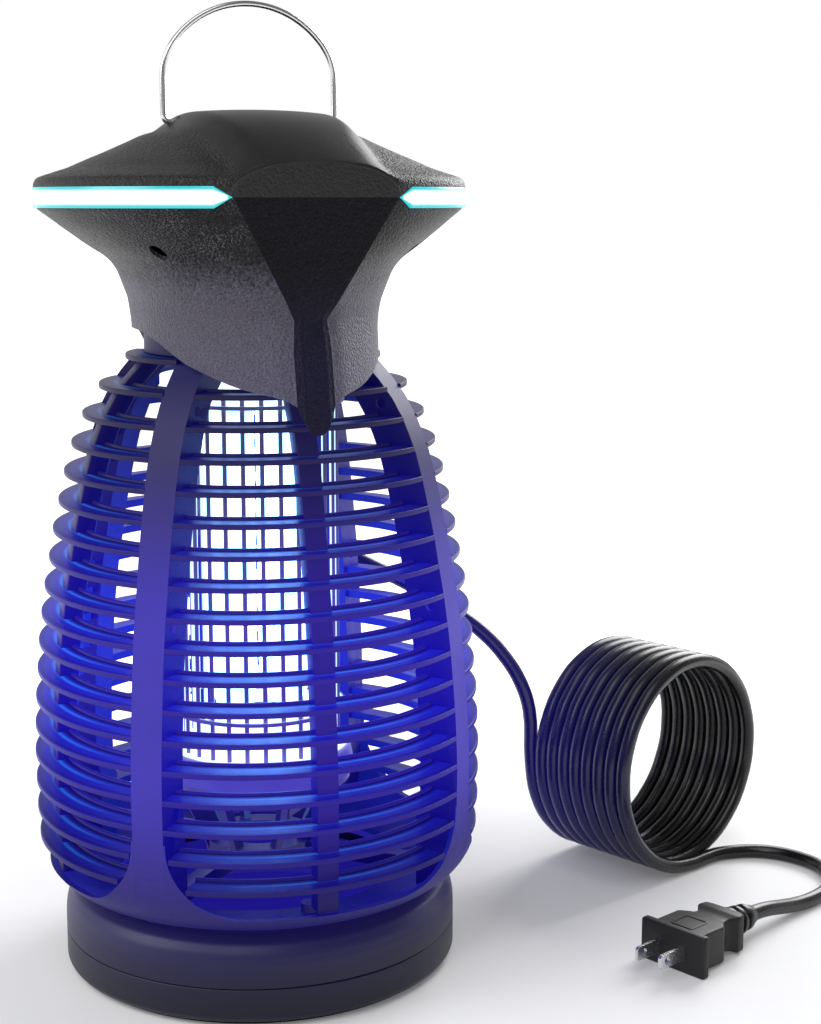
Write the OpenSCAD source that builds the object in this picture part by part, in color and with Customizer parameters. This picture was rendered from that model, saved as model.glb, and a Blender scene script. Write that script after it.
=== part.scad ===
// Electric insect zapper: a lantern-shaped cage with a lens-shaped head, a wire
// bail, a high-voltage rod grid round an ultraviolet lamp, and a removable tray.
// Millimetres. +Z is up, -Y is the front, the origin is the centre of the base.

/* [Overall] */
// Largest radius of the cage, at the edges of the fins
cage_r = 97; // [80:1:117]
// Height from one fin to the next
fin_pitch = 12.1; // [10:0.1:14.6]
// Radius of the head's rim
head_r = 90; // [75:1:108]
// Radius of the base
base_r = 86; // [71:1:104]

/* [Cage] */
// Number of fins, one above another
fin_count = 18; // [12:1:22]
// Height of the lowest fin's middle
fin_z0 = 60.7; // [58:0.1:70]
// Thickness of a fin
fin_t = 2.2; // [1.6:0.1:3]
// Radial depth of a fin
fin_depth = 13; // [9:0.5:15]
// Width of the four broad ribs
rib_w = 14; // [10:0.5:17]
// Radial depth of the broad ribs
rib_depth = 17; // [14:0.5:21]
// Width of the four thin ribs behind the fins
mid_rib_w = 9; // [5:0.5:12]
// Wall of the cage's bowl
bowl_wall = 2.6; // [2:0.1:3.2]
// Radius of the rounded lower corners of the panel openings
panel_corner = 30; // [24:1:34]

/* [Head] */
// Wall of the two head shells
head_wall = 2.3; // [1.8:0.1:3]
// Height of the ridge above the dome
hood_rise = 6.7; // [4:0.1:9]
// Half-width of the ridge at the middle
hood_half = 36; // [30:1:42]
// Height of the light bands
band_h = 8.2; // [6:0.2:10]
// Radial depth of the light bands
band_depth = 4.2; // [3:0.2:6]
// Arc of each light band without its pointed ends, in degrees
band_arc = 127; // [90:1:132]

/* [Handle] */
// Diameter of the bail wire
wire_d = 2.5; // [2:0.1:3.2]
// Distance from the axis to a leg of the bail
bail_half = 37.2; // [34:0.2:46]
// Height of the straight legs above the pivots
leg_h = 17.5; // [12:0.5:26]
// Radius of the arch's two shoulders
shoulder_r = 25.2; // [20:0.2:31]

/* [Lamp and grid] */
// Number of grid rods
rod_count = 28; // [16:2:34]
// Radius of the circle that the rods stand on
grid_r = 35; // [30:1:42]
// Diameter of a rod
rod_d = 2; // [1.5:0.1:2.4]
// Diameter of a lamp tube
tube_d = 15; // [12:0.5:18]
// Distance between neighbouring lamp tubes
tube_gap = 24; // [20:0.4:29]

/* [Base] */
// Height of the seam between the collar and the tray
seam_z = 16.5; // [13:0.5:19.8]
// Wall of the collar and the tray
base_wall = 2.4; // [2:0.1:3]
// Radius of the opening that insects drop through
drop_r = 62; // [50:1:64]

/* [Fits] */
// Radial clearance of the tray's spigot in the collar
spigot_gap = 0.5; // [0.3:0.1:1]
// Radial running clearance of the bail's feet in their bushes
bail_gap = 0.05; // [0.02:0.01:0.1]
// Clearance round the light bands, the rods and the screws
seat_gap = 0.1; // [0.05:0.01:0.2]

/* [Cord] */
// Diameter of the mains cord
cord_d = 7; // [5.8:0.1:7]

/* [Hidden] */
$fn = 64;

black = "#1b1b20";
navy = "#2c2a52";
steel = "#c9ccd2";
glow = "#d8ffff";

// Cage heights and radii. u runs from the lowest fin (0) to the highest (1).
cage_h = (fin_count - 1) * fin_pitch;
top_z = fin_z0 + cage_h;
function cage_u(z) = (z - fin_z0) / cage_h;
function fin_r(z) = cage_r * lookup(cage_u(z), [
    [0, 0.990], [0.06, 0.997], [0.17, 1], [0.23, 0.996], [0.29, 0.990],
    [0.35, 0.979], [0.41, 0.969], [0.47, 0.954], [0.53, 0.936], [0.59, 0.912],
    [0.65, 0.891], [0.70, 0.867], [0.76, 0.839], [0.82, 0.804], [0.88, 0.753],
    [0.94, 0.678], [1, 0.558]]);
valley_r = base_r - 11;
valley_z = fin_z0 - 22.7;
function bowl_r(z) = z >= fin_z0 ? fin_r(z)
    : let (t = (z - valley_z) / (fin_z0 - valley_z))
      valley_r + (fin_r(fin_z0) - valley_r) * sin(90 * pow(max(t, 0), 0.62));
rib_side = rib_w / 2;
ring_top = top_z + 11.6;
ring_bottom = top_z + 1.9;

// Head: heights are counted down from the rim.
rim_z = top_z + 65.6;
flat_y = head_r * 0.929;
flat_w = sqrt(head_r * head_r - flat_y * flat_y);
neck_a = fin_r(top_z) - 5;
neck_b = fin_r(top_z - 12) + 10.2;
tip_b = fin_r(top_z - 24.3) + 11;
ring_out = neck_a - head_wall - 0.6;
ring_in = ring_out - 7.4;
function lerp(a, b, t) = a + (b - a) * t;
function soft(t) = let (c = max(0, min(1, t))) c * c * (3 - 2 * c);
function head_a(d) = neck_a + (head_r - neck_a) * lookup(d, [
    [-91, 0], [-54, 0], [-47, 0.02], [-42, 0.035], [-37.5, 0.07], [-34, 0.1],
    [-30.4, 0.134], [-27, 0.19], [-24, 0.27], [-21, 0.39], [-18, 0.505],
    [-15, 0.61], [-11.5, 0.735], [-8, 0.85], [-4, 0.976], [-2, 0.996], [0, 1]]);
function head_b(d) = d > -47 ? lerp(neck_b, flat_y, (d + 47) / 47)
    : lerp(neck_b, tip_b, (-47 - d) / 44);
function head_w(d) = d > -47 ? lerp(6.7, flat_w, (d + 47) / 47)
    : lerp(6.7, 7.8, min(1, (-47 - d) / 12));
function thick(d) = head_wall * lookup(d, [
    [-60, 1], [-40, 1.1], [-30, 1.4], [-20, 1.75], [-8, 1.7], [-3, 1.3], [0, 1.2]]);
function hem(c) = lookup(c, [
    [0, -54.3], [0.25, -57.3], [0.45, -63], [0.52, -65.6], [0.6, -67.8],
    [0.8, -73.8], [0.95, -77], [1, -80]]);

// One quarter of the head's plan: facet steps first, then the curved side.
facet_steps = 3;
side_steps = 12;
quarter = facet_steps + side_steps;
function side_c(q, phi) = cos(lerp(phi, 90, (q - facet_steps) / side_steps)) / cos(phi);
function plan(q, d, a, b, w) = q <= facet_steps
    ? [w * q / facet_steps, b]
    : let (phi = asin(min(0.9, w / a)), c = side_c(q, phi), k = soft((d + 34) / 30))
      [lerp(w + (a - w) * (1 - pow(c, 2.5)), a * sqrt(max(0, 1 - c * c * pow(cos(phi), 2))), k), b * c];
function hem_q(q, side) = q <= facet_steps
    ? lerp(-91, -80, pow(q / facet_steps, 2.2))
    : let (phi = asin(7.8 / neck_a), c = side_c(q, phi))
      side < 0 ? hem(c) : lerp(hem(0), hem(c), soft((c - 0.45) / 0.4));
function around(n) = [for (i = [0:4 * n - 1])
    i <= n ? [i, 1, -1] : i <= 2 * n ? [2 * n - i, 1, 1]
    : i <= 3 * n ? [i - 2 * n, -1, 1] : [4 * n - i, -1, -1]];
function ring_faces(rows, n, closed) = [
    for (j = [0:rows - (closed ? 1 : 2)]) for (i = [0:n - 1])
        let (k = (i + 1) % n, a = j * n, b = ((j + 1) % rows) * n)
        each [[a + i, a + k, b + k], [a + i, b + k, b + i]]];

// The dome and its ridge
function dome(r) = rim_z + 29 - 19 * pow(r / (0.978 * head_r), 2.8);
function hood(x, y) = let (
    along = 1 - 0.85 * pow(min(1, abs(y) / flat_y), 2.4),
    half = hood_half - 6 * pow(min(1, abs(y) / (0.78 * flat_y)), 1.6),
    t = abs(x) / half)
    hood_rise * along * soft((1.14 - t) / 0.44) * (1 - 0.08 * t * t);
// How far the flanks beside the ridge lie below the dome
function sink(x, y) = let (
    half = hood_half - 6 * pow(min(1, abs(y) / (0.78 * flat_y)), 1.6))
    soft((abs(x) / half - 0.7) / 0.44) * lookup(norm([x, y]) / head_r, [
        [0.44, 0], [0.5, 0.6], [0.585, 2.4], [0.707, 4], [0.828, 4.4], [0.91, 3.3], [0.98, 1.9], [1, 1.7]]);
function roof(x, y) = dome(norm([x, y])) + hood(x, y) - sink(x, y);
hood_top = roof(0, 0);
pivot_z = hood_top - 5.2;
floor_z = rim_z - 12.5;
boss_r = head_a(floor_z - rim_z) - 6.7;
boss_at = [for (a = [42, 138, 222, 318]) [boss_r * cos(a), boss_r * sin(a)]];

// Rear facet
facet_tilt = atan((flat_y - neck_b) / 47);
module on_rear_facet(d) translate([0, head_b(d), rim_z + d]) rotate([-90 - facet_tilt, 0, 0]) children();
gland_d = -35;
switch_d = -15;

// Lamp column
plate_bottom = ring_bottom + 2.2;
holder_bottom = top_z - 14.4;
socket_bottom = plate_bottom - 12;
tube_top = socket_bottom - 12;
cup_top = fin_z0 + 35.3;
cup_bottom = fin_z0 + 23.3;
rod_bottom = cup_top - 4;
rod_top = holder_bottom + 4;
tube_bottom = cup_top + 22;
lamp_r = tube_gap * 0.71 + tube_d / 2 + 1.5;
holder_in = lamp_r + 0.96;

// Base
throat_z = valley_z;
tray_bottom = 1.5;
spigot_top = valley_z - 15;
collar_bore = base_r - base_wall - 0.4;
spigot_r = collar_bore - spigot_gap;

// The cord's hand-set course: out of the rear facet, down behind the cage, into
// the far end of the coil, and from the coil's near end along the floor.
lead_course = [
    [0, 106, 292.2], [1, 118, 288], [2, 128, 279], [4, 134, 267], [7, 135, 252],
    [12, 133, 236], [18, 129, 220], [26, 123, 204], [35, 116, 190], [46, 108, 178],
    [58, 99, 168], [71, 89, 160], [84, 80, 153], [97, 73, 146], [110, 67, 138],
    [123, 62, 129], [135, 57, 119], [145, 53, 107], [152, 49, 94], [156, 47, 80],
    [157, 46, 67], [157, 46, 55]];
tail_course = [
    [227, 6, 3.5], [236, 9.5, 3.5], [246, 12.5, 3.5], [256, 12, 3.5], [266, 9, 3.5],
    [275, 2, 3.5], [281, -8, 3.5], [284, -20, 3.5], [282, -32, 3.5], [276, -43, 3.5],
    [267, -51, 3.5], [255, -57, 3.5], [243, -61.5, 4.5], [232, -65.7, 6.5], [221, -69.8, 8.6],
    [210, -74, 9.5]];
coil_r = 51.5;
coil_spot = [205, 64, 55];
coil_length = 61.9;
coil_turn = 20.7;
plug_spot = [210, -74, 9.5];
plug_turn = 200.7;

// A larger cage or head pushes the coil outwards, and the lead follows both ends.
coil_shift = max(cage_r - 97, head_r - 90, 0) * [0.96, 0.28, 0];
gland_end = [0, head_b(gland_d) + 28.7 * cos(facet_tilt), rim_z + gland_d - 28.7 * sin(facet_tilt)];
gland_shift = gland_end - lead_course[0];
lead_pts = [for (i = [0:21]) let (k = soft(i / 21)) lead_course[i] + gland_shift * (1 - k) + coil_shift * k];
tail_pts = [for (p = tail_course) p + coil_shift];
coil_far = coil_spot + coil_shift;
plug_at = plug_spot + coil_shift;

// Sweeps a tube of n sides along points, with its first side set by up.
function unit(v) = v / norm(v);
module tube(pts, d, n, up) {
    m = len(pts);
    dir = [for (i = [0:m - 1]) unit(pts[min(i + 1, m - 1)] - pts[max(i - 1, 0)])];
    points = [for (i = [0:m - 1])
        let (s = unit(cross(dir[i], up)), t = cross(s, dir[i]))
        for (k = [0:n - 1]) pts[i] + d / 2 * (cos(360 * k / n) * s + sin(360 * k / n) * t)];
    sides = ring_faces(m, n, false);
    polyhedron(points, concat(sides,
        [[for (k = [n - 1:-1:0]) k]], [[for (k = [0:n - 1]) (m - 1) * n + k]]));
}

// A band round the axis; point is how far its tapered ends run past the arc.
module arc_band(r_in, r_out, z_mid, h, arc, point) difference() {
    reach = arc / 2 + (point > 0 ? asin(point / r_in) + 2 : 0);
    rotate([0, 0, -reach]) rotate_extrude(angle = 2 * reach)
        translate([r_in, z_mid - h / 2]) square([r_out - r_in, h]);
    if (point > 0) for (s = [-1, 1]) rotate([0, 0, s * arc / 2])
        translate([r_in - 3, 0, z_mid]) rotate([90, 0, 90]) linear_extrude(r_out - r_in + 6)
            polygon([[s * point, 0], [-2 * s * point / h, h / 2 + 1], [s * (point + 20), h / 2 + 1],
                [s * (point + 20), -h / 2 - 1], [-2 * s * point / h, -h / 2 - 1]]);
}

module screws(at, z_head, up, length) {
    for (p = at) translate([p[0], p[1], z_head]) rotate([up ? 0 : 180, 0, 0]) difference() {
        union() {
            cylinder(h = length, d = 3);
            translate([0, 0, -2.4]) cylinder(h = 2.4, d = 5.6);
        }
        translate([0, 0, -2.5]) for (a = [0, 90]) rotate([0, 0, a])
            translate([-1.6, -0.4, 0]) cube([3.2, 0.8, 1.4]);
    }
}

// --- Head ---------------------------------------------------------------

module shell_lower() {
    depths = [0, -2, -4, -8, -11.5, -15, -18, -21, -24, -27, -30.4, -34, -37.5, -42, -47];
    steps = 4;
    ring = around(quarter);
    rows = concat([for (d = depths) [d, 0]], [for (s = [1:steps]) [-47, s / steps]]);
    function at(row, p, inner) = let (
        d = lerp(row[0], hem_q(p[0], p[2]), row[1]),
        t = inner ? thick(d) : 0,
        q = plan(p[0], d, head_a(d) - t, head_b(d) - (inner ? head_wall : 0), head_w(d) - (inner ? 1 : 0)))
        [p[1] * q[0], p[2] * q[1], rim_z + d];
    points = concat(
        [for (row = rows) for (p = ring) at(row, p, false)],
        [for (j = [len(rows) - 1:-1:0]) for (p = ring) at(rows[j], p, true)]);
    polyhedron(points, ring_faces(2 * len(rows), len(ring), true));
}

module shell_upper() {
    shares = [0.08, 0.16, 0.23, 0.29, 0.33, 0.37, 0.41, 0.46, 0.53, 0.62, 0.72, 0.82, 0.91];
    ring = around(quarter);
    function rim(p, inset) = let (q = plan(p[0], 0, head_r - inset, flat_y - inset, flat_w - inset * 0.4))
        [p[1] * q[0], p[2] * q[1]];
    function edge(p) = p[0] <= facet_steps ? 0.6 : 2;
    function lift(xy, z) = [xy[0], xy[1], z];
    outer = concat(
        [for (s = shares) for (p = ring) let (v = s * rim(p, 0)) lift(v, roof(v[0], v[1]))],
        [for (p = ring) let (v = rim(p, edge(p))) lift(v, roof(v[0], v[1]))],
        [for (p = ring) let (v = rim(p, edge(p) / 3)) lift(v, roof(v[0], v[1]) - edge(p) * 0.5)],
        [for (p = ring) let (v = rim(p, 0)) lift(v, roof(v[0], v[1]) - edge(p) * 1.4)],
        [for (p = ring) lift(rim(p, 0), rim_z)]);
    inner = concat(
        [for (p = ring) lift(rim(p, head_wall * 1.2), rim_z)],
        [for (p = ring) let (v = rim(p, head_wall * 1.2)) lift(v, roof(v[0], v[1]) - head_wall - edge(p))],
        [for (j = [len(shares) - 1:-1:0]) for (p = ring) let (v = shares[j] * rim(p, head_wall)) lift(v, roof(v[0], v[1]) - head_wall)]);
    n = len(ring);
    rows = (len(outer) + len(inner)) / n;
    points = concat([[0, 0, hood_top]], outer, inner, [[0, 0, hood_top - head_wall]]);
    body = [for (f = ring_faces(rows, n, false)) [f[0] + 1, f[1] + 1, f[2] + 1]];
    caps = [for (i = [0:n - 1]) let (k = (i + 1) % n)
        each [[0, 1 + k, 1 + i], [1 + (rows - 1) * n + i, 1 + (rows - 1) * n + k, rows * n + 1]]];
    polyhedron(points, concat(body, caps));
}

module band_slots() for (s = [0, 180]) rotate([0, 0, s])
    arc_band(head_r - 9, head_r + 3, rim_z, band_h + 2 * seat_gap, band_arc, 7 + seat_gap);

module head_top_cover() color(black) difference() {
    union() {
        shell_upper();
        for (p = boss_at) translate([p[0], p[1], floor_z + 2.7])
            cylinder(h = roof(p[0], p[1]) - head_wall / 2 - floor_z - 2.7, r = 4);
    }
    band_slots();
    for (s = [-1, 1]) translate([s * 21.5, 0, pivot_z]) rotate([0, s * 90, 0])
        cylinder(h = 22.5, r = 2.65);
    for (p = boss_at) translate([p[0], p[1], floor_z]) cylinder(h = 18, d = 3 + 2 * seat_gap);
}

module head_lower_shell() color("#2a2a31") difference() {
    union() {
        shell_lower();
        translate([0, 0, ring_top]) cylinder(h = 2.6, r = ring_out + 1.2);
        for (s = [-1, 1]) translate([-12, s > 0 ? ring_out - 6 : -neck_b + 1, ring_top])
            cube([24, neck_b - ring_out + 5, 2.6]);
        for (x = [-22, 22]) for (y = [-16, 16]) translate([x, y, ring_top + 2]) cylinder(h = 16.4, r = 3);
        for (p = boss_at) translate([p[0], p[1], floor_z]) cylinder(h = 2.5, r = 8.4);
    }
    band_slots();
    translate([0, 0, ring_top - 1]) cylinder(h = 5, r = 17);
    for (p = boss_at) translate([p[0], p[1], floor_z - 20]) {
        cylinder(h = 20, d = 7.4);
        cylinder(h = 24, d = 3.4);
    }
    for (a = [0:90:270]) rotate([0, 0, a]) translate([(ring_in + ring_out) / 2, 0, ring_top - 1]) cylinder(h = 5, d = 3.4);
    on_rear_facet(gland_d) translate([0, 0, -6]) cylinder(h = 12, r = 6.6);
    on_rear_facet(switch_d) translate([-9.5, -6.5, -6]) cube([19, 13, 12]);
}

module light_band(s) color(glow) rotate([0, 0, s])
    arc_band(head_r - band_depth, head_r + 0.3, rim_z, band_h, band_arc, 7);
module light_band_right() light_band(0);
module light_band_left() light_band(180);

module led_board(s) color("#2f6a45") rotate([0, 0, s]) {
    arc_band(head_r - band_depth - 1.6, head_r - band_depth, rim_z, band_h - 1.4, band_arc - 8, 0);
    for (k = [-4:4]) rotate([0, 0, k * (band_arc - 16) / 8])
        translate([head_r - band_depth - 2.6, -2, rim_z - 1.5]) cube([1.4, 4, 3]);
}
module led_board_right() led_board(0);
module led_board_left() led_board(180);

module head_screws() color(steel) screws(boss_at, floor_z, true, 15);

module bail_bushes() color("#3a3a40") for (s = [-1, 1]) translate([s * 25, 0, pivot_z])
    rotate([0, s * 90, 0]) difference() {
        cylinder(h = 6.5, r = 2.6);
        translate([0, 0, -1]) cylinder(h = 9, r = wire_d / 2 + bail_gap);
    }

// The bail's arch has three centres: two shoulders and a flatter crown, which is
// a hair thicker so that its ends close over the shoulders.
module bail_handle() color(steel) {
    rise = 31;
    inset = bail_half - shoulder_r;
    drop = (inset * inset - pow(rise - shoulder_r, 2)) / (2 * (rise - shoulder_r));
    crown = rise + drop;
    split = atan2(inset, drop);
    bend = 3;
    spring_z = pivot_z + leg_h;
    for (s = [0, 180]) rotate([0, 0, s]) {
        translate([bail_half, 0, pivot_z + bend]) cylinder(h = leg_h - bend, d = wire_d);
        translate([bail_half - bend, 0, pivot_z + bend]) rotate([90, 0, 0])
            rotate([0, 0, -90]) rotate_extrude(angle = 90) translate([bend, 0]) circle(d = wire_d);
        translate([24, 0, pivot_z]) rotate([0, 90, 0]) cylinder(h = bail_half - bend - 24, d = wire_d);
        translate([23.2, 0, pivot_z]) rotate([0, 90, 0]) cylinder(h = 1.2, r = wire_d / 2 + 0.6);
        translate([inset, 0, spring_z]) rotate([90, 0, 0])
            rotate_extrude(angle = 90 - split) translate([shoulder_r, 0]) circle(d = wire_d);
    }
    translate([0, 0, spring_z - drop]) rotate([90, 0, 0]) rotate([0, 0, 90 - split])
        rotate_extrude(angle = 2 * split) translate([crown, 0]) circle(d = wire_d + 0.02);
}

module power_board() color("#2f6a45") {
    translate([-28, -22, ring_top + 18.4]) cube([56, 44, 1.6]);
    translate([-24, 12, ring_top + 20]) cube([16, 7, 9]);
    translate([10, 14, ring_top + 20]) cylinder(h = 4, d = 6);
}
module transformer() color("#8a6a2a") translate([-24, -18, ring_top + 20]) {
    cube([26, 22, 4]);
    translate([3, 0, 4]) cube([20, 22, 14]);
    translate([0, 0, 18]) cube([26, 22, 3]);
}
module capacitors() color("#3a4f8a") for (p = [[12, -14], [12, -3], [22, -14], [22, -3]])
    translate([p[0], p[1], ring_top + 20]) cylinder(h = 16, d = 8.4);

// Rocker switch in the rear facet; its local +Z points out of the head.
module switch_housing() color("#101014") on_rear_facet(switch_d) difference() {
    union() {
        translate([-10.5, -7.5, 0]) cube([21, 15, 1.6]);
        translate([-9.4, -6.4, -11]) cube([18.8, 12.8, 11]);
    }
    translate([-7.3, -5, -7]) cube([14.6, 10, 9]);
    rotate([0, 90, 0]) cylinder(h = 17, r = 1.05, center = true);
}
module switch_rocker() color("#c43a30") on_rear_facet(switch_d) rotate([-7, 0, 0]) {
    translate([-7, 0, -1]) rotate([90, 0, 90]) linear_extrude(14)
        polygon([[-4.2, 0.2], [-4.2, 3], [0, 2.2], [4.2, 3], [4.2, 0.2], [1.2, -3], [-1.2, -3]]);
    rotate([0, 90, 0]) cylinder(h = 16.4, r = 1, center = true);
}

// --- Cage ---------------------------------------------------------------

module cage_rib() {
    low = valley_z + 4;
    n = 30;
    inner_low = fin_r(fin_z0) - rib_depth - 1;
    zs = [for (i = [0:n]) lerp(low, top_z - 0.8, i / n)];
    outside = [for (z = zs) [bowl_r(z), z]];
    inside = [for (i = [n:-1:0]) if (zs[i] > fin_z0 + 14 && zs[i] < top_z - 14) [fin_r(zs[i]) - rib_depth, zs[i]]];
    rotate([90, 0, 0]) translate([0, 0, -rib_side]) linear_extrude(rib_w)
        polygon(concat(outside,
            [[ring_out - 0.5, top_z + 0.8], [ring_out - 0.5, ring_bottom + 1], [ring_in + 0.5, ring_bottom + 1]],
            [[ring_in + 0.5, top_z - 6]], inside, [[inner_low, fin_z0 + 12], [inner_low, low]]));
}

module bowl_solid() rotate_extrude() polygon(concat(
    [[drop_r, valley_z], [valley_r + 0.6, valley_z], [valley_r + 1, valley_z + 1.4]],
    [for (i = [1:18]) let (z = lerp(valley_z + 2, fin_z0 + 19, i / 18)) [bowl_r(z), z]],
    [for (i = [18:-1:3]) let (z = lerp(valley_z + 2, fin_z0 + 19, i / 18)) [bowl_r(z) - bowl_wall, z]],
    [[valley_r + 2, valley_z + 4], [drop_r, valley_z + 3]]));

panel_bottom = fin_z0 - 12.4;
panel_half = fin_r(fin_z0) * sin(45 - asin(rib_side / fin_r(fin_z0)));
function panel_x(z) = z > panel_bottom + panel_corner ? panel_half
    : panel_half - panel_corner + sqrt(max(0, pow(panel_corner, 2) - pow(panel_bottom + panel_corner - z, 2)));
module panel_cut() rotate([90, 0, 0]) linear_extrude(cage_r + 20) polygon(concat(
    [for (i = [0:12]) let (a = 90 * i / 12) [panel_half - panel_corner + panel_corner * sin(a), panel_bottom + panel_corner * (1 - cos(a))]],
    [[panel_half, fin_z0 + 40], [-panel_half, fin_z0 + 40]],
    [for (i = [12:-1:0]) let (a = 90 * i / 12) [-(panel_half - panel_corner + panel_corner * sin(a)), panel_bottom + panel_corner * (1 - cos(a))]]));

base_screw_r = (drop_r + valley_r) / 2 - 1;
module cage_frame() color(navy) difference() {
    union() {
        difference() {
            bowl_solid();
            for (a = [0:90:270]) rotate([0, 0, a]) panel_cut();
        }
        for (a = [45:90:315]) rotate([0, 0, a]) cage_rib();
        translate([0, 0, ring_bottom]) difference() {
            cylinder(h = ring_top - ring_bottom, r = ring_out);
            translate([0, 0, -1]) cylinder(h = 20, r = ring_in);
        }
        translate([0, 0, ring_bottom]) difference() {
            cylinder(h = 2.2, r = ring_in + 0.5);
            translate([0, 0, -1]) cylinder(h = 5, r = ring_in - 2.6);
        }
        for (a = [0:90:270]) rotate([0, 0, a]) translate([base_screw_r, 0, valley_z]) cylinder(h = 7, r = 4);
    }
    for (a = [0:90:270]) rotate([0, 0, a]) {
        translate([(ring_in + ring_out) / 2, 0, ring_top - 7]) cylinder(h = 9, d = 3 + 2 * seat_gap);
        translate([base_screw_r, 0, valley_z - 1]) cylinder(h = 7, d = 3 + 2 * seat_gap);
    }
    for (a = [45:90:315]) for (z = [top_z - 18, top_z - 101.5]) for (side = [-90, 90]) rotate([0, 0, a])
        translate([fin_r(z) - 7, 0, z]) rotate([side, 0, 0]) translate([0, 0, rib_side - 2]) cylinder(h = 3, d = 4.4);
}

module fin(z) {
    r = fin_r(z);
    half = z < panel_bottom + panel_corner ? asin((panel_x(z - fin_t / 2) - 0.3) / r) : 46;
    t = fin_t / 2;
    lip = min(1.1, ring_bottom - z - t - 0.1);
    rotate([0, 0, -90 - half]) rotate_extrude(angle = 2 * half) translate([0, z])
        polygon([[r - fin_depth, -t], [r - 0.7, -t], [r, -t + 0.6], [r, t - 0.6], [r - 0.7, t],
            [r - fin_depth + 1.6, t], [r - fin_depth + 1.6, t + lip], [r - fin_depth, t + lip]]);
}
module mid_rib() {
    n = 26;
    z_low = fin_z0 - 12;
    zs = [for (i = [0:n]) lerp(z_low, top_z, i / n)];
    rotate([90, 0, -90]) translate([0, 0, -mid_rib_w / 2]) linear_extrude(mid_rib_w)
        polygon(concat([for (z = zs) [fin_r(max(z, fin_z0)) - 6.5, z]],
            [[ring_out - 1, ring_bottom], [ring_in + 1, ring_bottom]],
            [for (i = [n:-1:0]) [fin_r(max(zs[i], fin_z0)) - 15, zs[i]]]));
}
module grille(turn) color("#35328a") rotate([0, 0, turn]) intersection() {
    union() {
        for (i = [0:fin_count - 1]) fin(fin_z0 + i * fin_pitch);
        mid_rib();
    }
    rotate([0, 0, -90]) linear_extrude(ring_top) translate([rib_side * sqrt(2), 0])
        polygon([[0, 0], [2 * cage_r, -2 * cage_r], [2 * cage_r, 2 * cage_r]]);
}
module grille_front() grille(0);
module grille_right() grille(90);
module grille_rear() grille(180);
module grille_left() grille(270);

module cage_screws() color(steel) screws([for (a = [0:90:270]) (ring_in + ring_out) / 2 * [cos(a), sin(a)]],
    ring_top + 2.6, false, 9);

// --- Lamp and grid --------------------------------------------------------

module neck_plate() color("#3b3a4a") translate([0, 0, plate_bottom]) difference() {
    cylinder(h = 3, r = ring_in - seat_gap);
    for (x = [-6, 6]) translate([x, 0, -1]) cylinder(h = 5, d = 3.2);
    for (a = [0, 90]) rotate([0, 0, a]) translate([grid_r, 0, -1]) cylinder(h = 5, d = 2.6);
}
module lamp_socket() color("#e9e7e0") translate([0, 0, socket_bottom]) {
    cylinder(h = 12, r = 18);
    translate([0, 0, 9.6]) cylinder(h = 2.4, r = 20.5);
}
module lamp_base() color("#f2f1ec") translate([0, 0, tube_top]) {
    cylinder(h = 10, r = lamp_r);
    cylinder(h = 12, r = lamp_r - 4);
}
module lamp_tubes() color("#c9d4ff") for (s = [-1, 1]) translate([s * tube_gap / 2, 0, 0]) {
    for (y = [-1, 1]) translate([0, y * tube_gap / 2, tube_bottom + tube_gap / 2])
        cylinder(h = tube_top - tube_bottom - tube_gap / 2, d = tube_d);
    translate([0, 0, tube_bottom + tube_gap / 2]) rotate([90, 0, 90]) rotate([0, 0, 180])
        rotate_extrude(angle = 180) translate([tube_gap / 2, 0]) circle(d = tube_d);
}
module rod_holes(z, h) for (k = [0:rod_count - 1]) rotate([0, 0, 360 * k / rod_count])
    translate([grid_r, 0, z]) cylinder(h = h, d = rod_d + 2 * seat_gap, $fn = 24);
module grid_top_holder() color("#ecebe6") difference() {
    rotate_extrude() polygon([[holder_in - 4.5, plate_bottom], [holder_in - 4.5, plate_bottom - 3], [holder_in, plate_bottom - 6],
        [holder_in, holder_bottom + 5], [lerp(holder_in, grid_r, 0.375), holder_bottom], [grid_r + 5, holder_bottom],
        [grid_r + 5, holder_bottom + 6], [holder_in + 2.5, holder_bottom + 6], [holder_in + 2.5, plate_bottom - 4], [holder_in, plate_bottom]]);
    rod_holes(holder_bottom - 1, 5 + seat_gap);
    for (a = [0, 90]) rotate([0, 0, a]) translate([grid_r, 0, holder_bottom - 1]) cylinder(h = 8, d = rod_d + 2 * seat_gap, $fn = 24);
}
module grid_bottom_holder() color("#f4f4f0") difference() {
    rotate_extrude() polygon([[0, cup_bottom], [grid_r + 6.5, cup_bottom], [grid_r + 6.5, cup_bottom + 4], [grid_r + 5, cup_top],
        [grid_r - 5, cup_top], [grid_r - 6.5, cup_bottom + 3], [0, cup_bottom + 3]]);
    rod_holes(rod_bottom - seat_gap, 10);
}
module electrode(first, ring_z) {
    for (k = [first:2:rod_count - 1]) rotate([0, 0, 360 * k / rod_count]) {
        translate([grid_r, 0, rod_bottom]) cylinder(h = rod_top - rod_bottom, d = rod_d, $fn = 24);
        translate([grid_r, -0.6, ring_z - 0.8]) cube([2.6, 1.2, 1.6]);
    }
    rotate_extrude() translate([grid_r + 2, ring_z - 0.8]) square([1.6, 1.6]);
}
module grid_live() color(steel) electrode(0, holder_bottom - 5);
module grid_neutral() color("#b9bcc4") electrode(1, cup_top + 17);

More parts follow.
